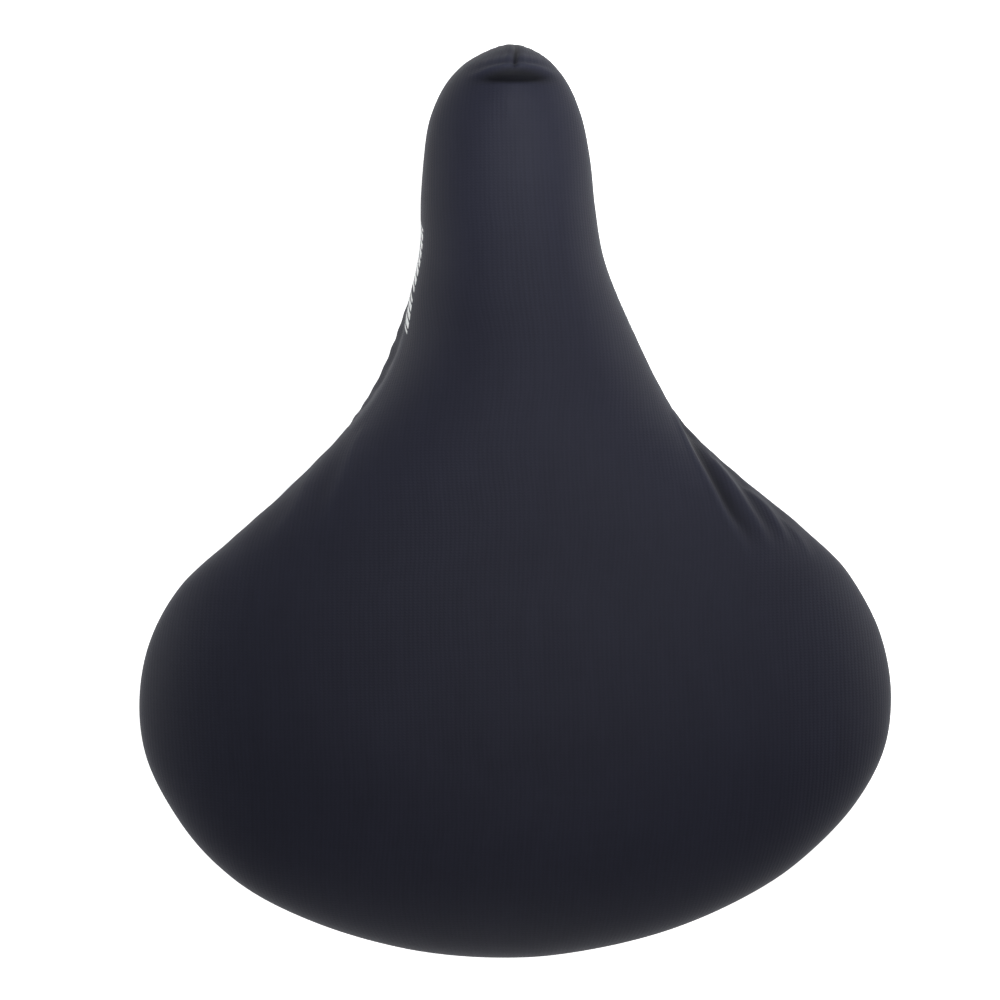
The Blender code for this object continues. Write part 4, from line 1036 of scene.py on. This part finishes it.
fill_r, fill_z = base_paths(bst, 22)[0]
mid_z = fill_z.copy()
mid_r = np.minimum(fill_r, fill_r[:, -1:] - 1.4)
mid_z = mid_z - 1.5 * (np.arange(mid_z.shape[1]) <= 24)[None, :]
mid_r = np.concatenate([mid_r, mid_r[:, -1:], np.zeros_like(mid_r[:, :1])], 1)
mid_z = np.concatenate([mid_z, np.full_like(mid_z[:, :1], 20.0), np.full_like(mid_z[:, :1], 20.0)], 1)


def filling():
    """A solid that fills the base up to the middle of its wall."""
    v, lp = full_loop(bst.points(mid_r[:, :-1], mid_z[:, :-1]))
    bottom = lp[:, -1].tolist()
    return fix_normals(new_object("filling", v, loop_faces(lp) + [bottom[::-1]]))


for s in (1, -1):
    profile = [(0, 95.0), (14.6, 95.0), (13.9, BOSS_BOTTOM + 6.0), (13.0, BOSS_BOTTOM + 0.8), (12.2, BOSS_BOTTOM), (0, BOSS_BOTTOM)]
    boss = revolve("boss", profile, (s * SPRING_X, SPRING_Y, 0), 64)
    boolean(boss, filling(), "INTERSECT")
    boolean(base, boss, "UNION")
block = prism("nose_block", [(-8, PIVOT_Y - 12), (8, PIVOT_Y - 12), (8, PIVOT_Y + 12), (-8, PIVOT_Y + 12)], PIVOT_Z + 0.3, 95.0)
bevelled(block, 0.8, 3)
gussets = [prism("gusset", [(s * a, y - 1.0), (s * b, y - 1.0), (s * b, y + 1.0), (s * a, y + 1.0)][:: s], 64.0, 95.0) for s in (1, -1) for y in (PIVOT_Y - 9.5, PIVOT_Y + 8.5) for a, b in ((7.0, 15.0),)]
gussets.append(prism("gusset", [(-1.0, 70.0), (1.0, 70.0), (1.0, PIVOT_Y - 11.0), (-1.0, PIVOT_Y - 11.0)], 66.0, 95.0))
boolean(block, joined("gussets", gussets), "UNION")
boolean(block, filling(), "INTERSECT")
boolean(base, block, "UNION")
groove = lambda: revolve("groove", [(0, 30), (3.8, 30), (3.8, -30), (0, -30)], (0, PIVOT_Y, PIVOT_Z), 64, "X")
boolean(base, groove(), "DIFFERENCE")
hole = lambda x, y, lo, hi, r, n=48, turn=0.0: prism("hole", [(x + u, y + v) for u, v in ring_of(r, n, turn)], lo, hi)
for y in (PIVOT_Y - 7.0, PIVOT_Y + 7.0):
    boolean(base, hole(0, y, 30, PIVOT_Z + 9.5, 2.3), "DIFFERENCE")
POCKET_Z = BOSS_BOTTOM + 2.6
for s in (1, -1):
    boolean(base, hole(s * SPRING_X, SPRING_Y, 60, 92, 3.3), "DIFFERENCE")
    boolean(base, hole(s * SPRING_X, SPRING_Y, POCKET_Z, 92, 6.0, 6), "DIFFERENCE")
shade(base, 35)
finish_as(base, "black_plastic", "saddle_top", "base_shell")

# nose cap: a small forging with a half-round saddle for the wire
cap = prism("nose_clamp_cap", [(-8, PIVOT_Y - 12), (8, PIVOT_Y - 12), (8, PIVOT_Y + 12), (-8, PIVOT_Y + 12)], PIVOT_Z - 6.0, PIVOT_Z - 0.3)
bevelled(cap, 1.2, 4)
boolean(cap, groove(), "DIFFERENCE")
for y in (PIVOT_Y - 7.0, PIVOT_Y + 7.0):
    boolean(cap, hole(0, y, 30, 60, 2.3), "DIFFERENCE")
shade(cap, 35)
finish_as(cap, "black_steel", "saddle_top", "nose_cap")

# staples that hold the hem under the rim
sst = Stations(0, [(k + 0.5) / 22 for k in range(22)])
staples = []
for k in range(22):
    for s in (1, -1):
        r = float(sst.rim_r[k, 0]) - 5.4
        x, y = sst.way[k, 0] * r, sst.foot_y[k, 0] + sst.way[k, 1] * r
        # along the rim
        r2 = float(sst.R[k, 0])
        here = np.array([s * x, y, float(sst.rim[k, 0]) - 1.2])
        ahead = Stations(0, [min((k + 0.56) / 22, 1.0)])
        q = np.array([s * ahead.way[0, 0] * (float(ahead.rim_r[0, 0]) - 5.4), ahead.foot_y[0, 0] + ahead.way[0, 1] * (float(ahead.rim_r[0, 0]) - 5.4), here[2]])
        t = (q - here) / np.linalg.norm(q - here)
        leg = np.array([0, 0, 1.0])
        path = []
        for a in np.linspace(-1, 1, 9):
            path.append(here + t * a * 3.4 + np.array([0, 0, -0.22]))
        path = [here - t * 4.0 + leg * 1.1, here - t * 3.95 + leg * 0.2, here - t * 3.8 - leg * 0.1] + path + [here + t * 3.8 - leg * 0.1, here + t * 3.95 + leg * 0.2, here + t * 4.0 + leg * 1.1]
        path = np.array(path)
        tt = np.gradient(path, axis=0)
        tt /= np.linalg.norm(tt, axis=1, keepdims=True)
        side = np.cross([0, 0, 1.0], t)
        vs, fs = [], []
        for j in range(len(path)):
            up = np.cross(tt[j], side)
            for w, h in ((-0.55, -0.24), (-0.35, 0.24), (0.35, 0.24), (0.55, -0.24)):
                vs.append(path[j] + side * w - up * h * (1 if j else 1))
        for j in range(len(path) - 1):
            for c in range(4):
                fs.append([j * 4 + c, j * 4 + (c + 1) % 4, (j + 1) * 4 + (c + 1) % 4, (j + 1) * 4 + c])
        fs += [[3, 2, 1, 0], [(len(path) - 1) * 4 + c for c in range(4)]]
        staples.append(fix_normals(new_object("staple", vs, fs)))
staples = joined("hem_staples", staples)
shade(staples, 40)
finish_as(staples, "zinc_steel", "saddle_top", mat=STAPLE)


# ================================================================ rails
def rounded_line(corners, n=26):
    out = [Vector(corners[0][0])]
    for (a, _), (b, radius), (c, _) in zip(corners, corners[1:], corners[2:]):
        a, b, c = Vector(a), Vector(b), Vector(c)
        u, v = (a - b).normalized(), (c - b).normalized()
        half = u.angle(v) / 2
        reach = radius / math.tan(half)
        centre = b + (u + v).normalized() * (radius / math.sin(half))
        start, end = b + u * reach - centre, b + v * reach - centre
        whole = start.angle(end)
        out += [centre + (start * math.sin((1 - w) * whole) + end * math.sin(w * whole)) / math.sin(whole) for w in [j / (n - 1) for j in range(n)]]
    out.append(Vector(corners[-1][0]))
    return out


def resampled(points, spacing):
    out = [points[0]]
    for a, b in zip(points, points[1:]):
        n = max(1, math.ceil((b - a).length / spacing))
        out += [a.lerp(b, (j + 1) / n) for j in range(n)]
    return out


to_front = (Vector((RAIL_X, -59.0)) - Vector((SPRING_X, SPRING_Y))).normalized()
start_xy = Vector((SPRING_X, SPRING_Y)) + to_front * 24.0
LOW_Z = PADDLE_Z + PADDLE_T - RAIL_R
wire = rounded_line(
    [
        ((*(Vector((SPRING_X, SPRING_Y)) + to_front * 23.0), LOW_Z), 0),
        ((*(Vector((SPRING_X, SPRING_Y)) + to_front * 24.0), LOW_Z), 2.0),
        ((RAIL_X, -59.0, RAIL_Z), 14.0),
        ((RAIL_X, 22.0, RAIL_Z), 30.0),
        ((14.5, PIVOT_Y, PIVOT_Z), 6.5),
        ((0.0, PIVOT_Y, PIVOT_Z), 0),
    ]
)
wire = resampled(wire, 4.0)
# the flattened, punched end: sections from its tip to where the wire is round again
flat_d = [-10.46, -10.3, -9.8, -8.8, -7.0, -4.5, -1.5, 2.0, 5.0, 7.5, 10.0, 12.5, 15.0, 17.5, 20.0, 22.0]


def flat_half(d):
    if d <= 5.0:
        return math.sqrt(max(10.5**2 - d * d, 0.01))
    u = min((d - 5.0) / 18.0, 1.0)
    a, b, ma = math.sqrt(10.5**2 - 25.0), RAIL_R, -5.0 / math.sqrt(10.5**2 - 25.0) * 18.0
    return (2 * u**3 - 3 * u**2 + 1) * a + (u**3 - 2 * u**2 + u) * ma + (3 * u**2 - 2 * u**3) * b


SIDES = 40
centre_line, widths, heights, square = [], [], [], []
for d in flat_d:
    xy = Vector((SPRING_X, SPRING_Y)) + to_front * d
    back_to_round = float(smoothstep(8.0, 23.0, np.array(d)))
    h = 2.0 + 1.5 * back_to_round
    centre_line.append(Vector((xy.x, xy.y, PADDLE_Z + PADDLE_T - h)))
    widths.append(flat_half(d))
    heights.append(h)
    square.append(2.0 + 6.0 * (1 - back_to_round))
centre_line += wire
widths += [RAIL_R] * len(wire)
heights += [RAIL_R] * len(wire)
square += [2.0] * len(wire)
n_half = len(centre_line)
centre_line += [Vector((-p.x, p.y, p.z)) for p in reversed(centre_line[:-1])]
widths += widths[:-1][::-1]
heights += heights[:-1][::-1]
square += square[:-1][::-1]


def rail_section(j):
    out = []
    for k in range(SIDES):
        a = 2 * math.pi * k / SIDES
        c, s = math.cos(a), math.sin(a)
        e = 2.0 / square[j]
        out.append((widths[j] * math.copysign(abs(c) ** e, c), heights[j] * math.copysign(abs(s) ** e, s)))
    return out


rails = strip_tube("rail_wire", [tuple(p) for p in centre_line], SIDES, rail_section)
for s in (1, -1):
    boolean(rails, hole(s * SPRING_X, SPRING_Y, 0, 40, 3.3), "DIFFERENCE")
shade(rails, 40)
finish_as(rails, "black_steel", "rails", "rail_frame")


# ================================================================ rear springs
def coil(x, y, bottom, top, hand, per_turn=64):
    turns = 4.6
    r = (SPRING_OD - SPRING_WIRE) / 2
    low, high = bottom + SPRING_WIRE / 2, top - SPRING_WIRE / 2
    n = int(turns * per_turn)
    flat, rise = 0.75 / turns, 0.75 * (SPRING_WIRE + 0.5)
    points = []
    for j in range(n + 1):
        u = j / n
        a = math.radians(-90.0 + 360.0 * turns * u) * hand
        if u < flat:
            z = low + rise * (u / flat) ** 1.6
        elif u > 1 - flat:
            z = high - rise * ((1 - u) / flat) ** 1.6
        else:
            z = low + rise + (high - low - 2 * rise) * (u - flat) / (1 - 2 * flat)
        points.append((x + r * math.cos(a), y + r * math.sin(a), z))
    return points


for s, label in ((1, "right"), (-1, "left")):
    line = np.array(coil(s * SPRING_X, SPRING_Y, SPRING_BOTTOM, SPRING_TOP, s))
    # soften the changes of pitch
    for _ in range(12):
        line[1:-1, 2] = 0.25 * line[:-2, 2] + 0.5 * line[1:-1, 2] + 0.25 * line[2:, 2]
    radius = np.full(len(line), SPRING_WIRE / 2 - 0.02)
    radius[0] = radius[-1] = SPRING_WIRE / 2 - 0.35
    line = np.concatenate([line[:1], line[:1] + 0.12 * (line[1:2] - line[:1]), line[1:-1], line[-1:] + 0.12 * (line[-2:-1] - line[-1:]), line[-1:]])
    radius = np.concatenate([radius[:1], [radius[1]], radius[1:-1], [radius[1]], radius[-1:]])
    ring = lambda j: [(radius[j] * math.cos(2 * math.pi * k / 24), radius[j] * math.sin(2 * math.pi * k / 24)) for k in range(24)]
    spring = shade(strip_tube("rear_spring_" + label, line, 24, ring), 50)
    finish_as(spring, "spring_steel", None, "coil_spring_" + label)
    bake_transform(spring)

# ================================================================ cups, bolts, nuts and screws
CUP_R, CUP_LIP, HOLE_R = SPRING_OD / 2 + 2.2, 4.0, 3.3
NUT_R, NUT_H = 5.6, 5.0
for s, label in ((1, "right"), (-1, "left")):
    x, y = s * SPRING_X, SPRING_Y
    z = BOSS_BOTTOM - GAP
    profile = [(CUP_R - 2.0, z), (CUP_R, z - 2.0), (CUP_R, z - CUP_LIP - CUP_T), (CUP_R - CUP_T, z - CUP_LIP - CUP_T), (CUP_R - CUP_T, z - 2.6), (CUP_R - 2.6, z - CUP_T), (HOLE_R, z - CUP_T), (HOLE_R, z)]
    cup = shade(revolve("spring_cup_top_" + label, filleted(profile, 0.9, 5), (x, y, 0), 96), 40)
    finish_as(cup, "black_steel", "saddle_top", "upper_spring_cup_" + label)
    z = PADDLE_Z + PADDLE_T + GAP
    profile = [(CUP_R - CUP_T, z + CUP_LIP + CUP_T), (CUP_R, z + CUP_LIP + CUP_T), (CUP_R, z + 2.0), (CUP_R - 2.0, z), (HOLE_R, z), (HOLE_R, z + CUP_T), (CUP_R - 2.6, z + CUP_T), (CUP_R - CUP_T, z + 2.6)]
    cup = shade(revolve("spring_cup_bottom_" + label, filleted(profile, 0.9, 5), (x, y, 0), 96), 40)
    finish_as(cup, "black_steel", "rails", "lower_spring_cup_" + label)

    def bolt_at(name, head_lo, head_hi, shank_hi, body, node, place):
        head = hex_head(name, 5.6, -(head_hi - head_lo), 0.0)
        head.data.transform(Matrix.Rotation(math.pi, 4, "X"))
        head.data.transform(Matrix.Translation((0, 0, -(head_hi - head_lo) * MM)))
        shank = thread("shank", 3.0, -0.6, shank_hi - head_hi, 1.0, 0.4, 36, 1.4)
        boolean(head, shank, "UNION")
        moved(head, (place[0], place[1], head_hi))
        shade(head, 30)
        return finish_as(head, "zinc_steel", body, node)

    z = BOSS_BOTTOM - GAP - CUP_T - GAP
    bolt_at("spring_bolt_top_" + label, z - 4.0, z, POCKET_Z + GAP + NUT_H + 0.6, "saddle_top", "upper_spring_bolt_" + label, (x, y))
    z = PADDLE_Z - GAP
    bolt_at("spring_bolt_bottom_" + label, z - 4.0, z, PADDLE_Z + 14.0, "rails", "lower_spring_bolt_" + label, (x, y))
    z = PADDLE_Z + PADDLE_T + GAP + CUP_T + GAP
    nut = hex_head("spring_nut_bottom_" + label, NUT_R, 0.0, NUT_H, True, 3.25)
    finish_as(shade(moved(nut, (x, y, z)), 30), "zinc_steel", "rails", "lower_spring_nut_" + label)
    nut = hex_head("spring_nut_top_" + label, NUT_R, 0.0, NUT_H, True, 3.25)
    finish_as(shade(moved(nut, (x, y, POCKET_Z + GAP)), 30), "zinc_steel", "saddle_top", "upper_spring_nut_" + label)

# nose screws: button heads with a hexagon socket
for label, y in (("rear", PIVOT_Y - 7.0), ("front", PIVOT_Y + 7.0)):
    low = PIVOT_Z - 6.0 - GAP
    dome = [(0.0, low), (3.6, low), (3.6, low - 0.5), (3.4, low - 1.2), (2.9, low - 1.9), (2.1, low - 2.4), (0.0, low - 2.4)]
    screw = revolve("nose_bolt_" + label, dome, (0, y, 0), 56)
    boolean(screw, hole(0, y, low - 4.0, low - 0.9, 1.45, 6), "DIFFERENCE")
    shank = thread("shank", 2.0, low - 0.4, PIVOT_Z + 8.5, 0.7, 0.28, 32, 1.5)
    moved(shank, (0, y, 0))
    boolean(screw, shank, "UNION")
    finish_as(shade(screw, 32), "zinc_steel", "saddle_top", "nose_screw_" + label)

# clamp: cross bolt, nut and washers
head_in = RAIL_X + 6.6 + GAP + 1.6 + GAP
bolt = hex_head("cross_bolt", 7.5, 0.0, 5.3)
shank = thread("shank", 4.0, -(2 * head_in + 9.0), 0.4, 1.25, 0.55, 44, 0.0)
shank.data.transform(Matrix.Rotation(math.pi, 4, "X"))
shank.data.transform(Matrix.Translation((0, 0, -(2 * head_in + 9.0) * MM)))
plain = revolve("plain", [(0, 0.3), (4.0, 0.3), (4.0, -44.0), (3.5, -44.8), (0, -44.8)], sides=44)
shank.data.transform(Matrix.Diagonal((0.9985, 0.9985, 1.0, 1.0)))
boolean(plain, shank, "UNION")
boolean(bolt, plain, "UNION")
bolt.data.transform(Matrix(((0, 0, -1, 0), (0, 1, 0, 0), (1, 0, 0, 0), (0, 0, 0, 1))))
bolt.data.transform(Matrix.Translation((-head_in * MM, BOLT_Y * MM, BOLT_Z * MM)))
finish_as(shade(bolt, 30), "zinc_steel", "seatpost_clamp", "clamp_bolt")
nut = hex_head("cross_nut", 7.5, 0.0, 6.5, True, 4.3)
nut.data.transform(Matrix(((0, 0, 1, 0), (0, 1, 0, 0), (-1, 0, 0, 0), (0, 0, 0, 1))))
nut.data.transform(Matrix.Translation((head_in * MM, BOLT_Y * MM, BOLT_Z * MM)))
finish_as(shade(nut, 30), "zinc_steel", "seatpost_clamp", "clamp_nut")
for s, label in ((1, "right"), (-1, "left")):
    a = RAIL_X + 6.6 + GAP
    profile = filleted([(8.5, 1.6), (8.5, 0.0), (4.3, 0.0), (4.3, 1.6)], 0.35, 3)
    washer = revolve("cross_washer_" + label, profile, sides=72)
    washer.data.transform(Matrix(((0, 0, s, 0), (0, 1, 0, 0), (-s, 0, 0, 0), (0, 0, 0, 1))))
    washer.data.transform(Matrix.Translation((s * a * MM, BOLT_Y * MM, BOLT_Z * MM)))
    finish_as(shade(washer, 35), "zinc_steel", "seatpost_clamp", "clamp_washer_" + label)

# ================================================================ carried-over CAD pieces: rounded edges and a finish
smooth_tree = bpy.data.node_groups.new("smooth_by_angle", "GeometryNodeTree")
smooth_tree.interface.new_socket("Geometry", in_out="INPUT", socket_type="NodeSocketGeometry")
smooth_tree.interface.new_socket("Geometry", in_out="OUTPUT", socket_type="NodeSocketGeometry")
gin, gout = smooth_tree.nodes.new("NodeGroupInput"), smooth_tree.nodes.new("NodeGroupOutput")
gone = smooth_tree.nodes.new("GeometryNodeRemoveAttribute")
gone.inputs["Name"].default_value = "custom_normal"
angle = smooth_tree.nodes.new("GeometryNodeInputMeshEdgeAngle")
sharp = smooth_tree.nodes.new("FunctionNodeCompare")
sharp.data_type, sharp.operation = "FLOAT", "GREATER_THAN"
sharp.inputs[1].default_value = math.radians(26.0)
all_smooth = smooth_tree.nodes.new("GeometryNodeSetShadeSmooth")
all_smooth.domain = "FACE"
edges = smooth_tree.nodes.new("GeometryNodeSetShadeSmooth")
edges.domain = "EDGE"
edges.inputs["Shade Smooth"].default_value = False
smooth_tree.links.new(gin.outputs[0], gone.inputs["Geometry"])
smooth_tree.links.new(gone.outputs["Geometry"], all_smooth.inputs["Geometry"])
smooth_tree.links.new(all_smooth.outputs["Geometry"], edges.inputs["Geometry"])
smooth_tree.links.new(angle.outputs["Unsigned Angle"], sharp.inputs[0])
smooth_tree.links.new(sharp.outputs[0], edges.inputs["Selection"])
smooth_tree.links.new(edges.outputs["Geometry"], gout.inputs[0])

for name, obj in sorted(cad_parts.items()):
    if obj.hide_render:
        continue
    obj.data.materials.clear()
    obj.data.materials.append(ZINC)
    weld = obj.modifiers.new("weld", "WELD")
    weld.merge_threshold = 0.00002
    edge = obj.modifiers.new("rounded_edges", "BEVEL")
    edge.width, edge.segments, edge.limit_method = 0.45 * MM, 3, "ANGLE"
    edge.angle_limit = math.radians(32.0)
    edge.use_clamp_overlap = True
    turn = obj.modifiers.new("smooth", "NODES")
    turn.node_group = smooth_tree

# ================================================================ floor
floor = new_object("floor", [(-9000, -9000, -1.0), (9000, -9000, -1.0), (9000, 9000, -1.0), (-9000, 9000, -1.0)], [[0, 1, 2, 3]])
m, t, bsdf = node_material("studio_floor")
paper = noise(t, 3.0, 2.0, 0.5)
t.links.new(mix_colour(t, paper, (0.90, 0.90, 0.90), (0.93, 0.93, 0.93)), bsdf.inputs["Base Color"])
bsdf.inputs["Roughness"].default_value = 0.9
bsdf.inputs["Specular IOR Level"].default_value = 0.1
lit = add(t, "ShaderNodeEmission", {"Color": (1.0, 1.0, 1.0, 1.0), "Strength": 0.92})
glow = add(t, "ShaderNodeAddShader")
t.links.new(bsdf.outputs[0], glow.inputs[0])
t.links.new(lit.outputs[0], glow.inputs[1])
clear = add(t, "ShaderNodeBsdfTransparent")
one_sided = add(t, "ShaderNodeMixShader")
t.links.new(add(t, "ShaderNodeNewGeometry").outputs["Backfacing"], one_sided.inputs[0])
t.links.new(glow.outputs[0], one_sided.inputs[1])
t.links.new(clear.outputs[0], one_sided.inputs[2])
t.links.new(one_sided.outputs[0], t.nodes["Material Output"].inputs["Surface"])
floor.data.materials.append(m)
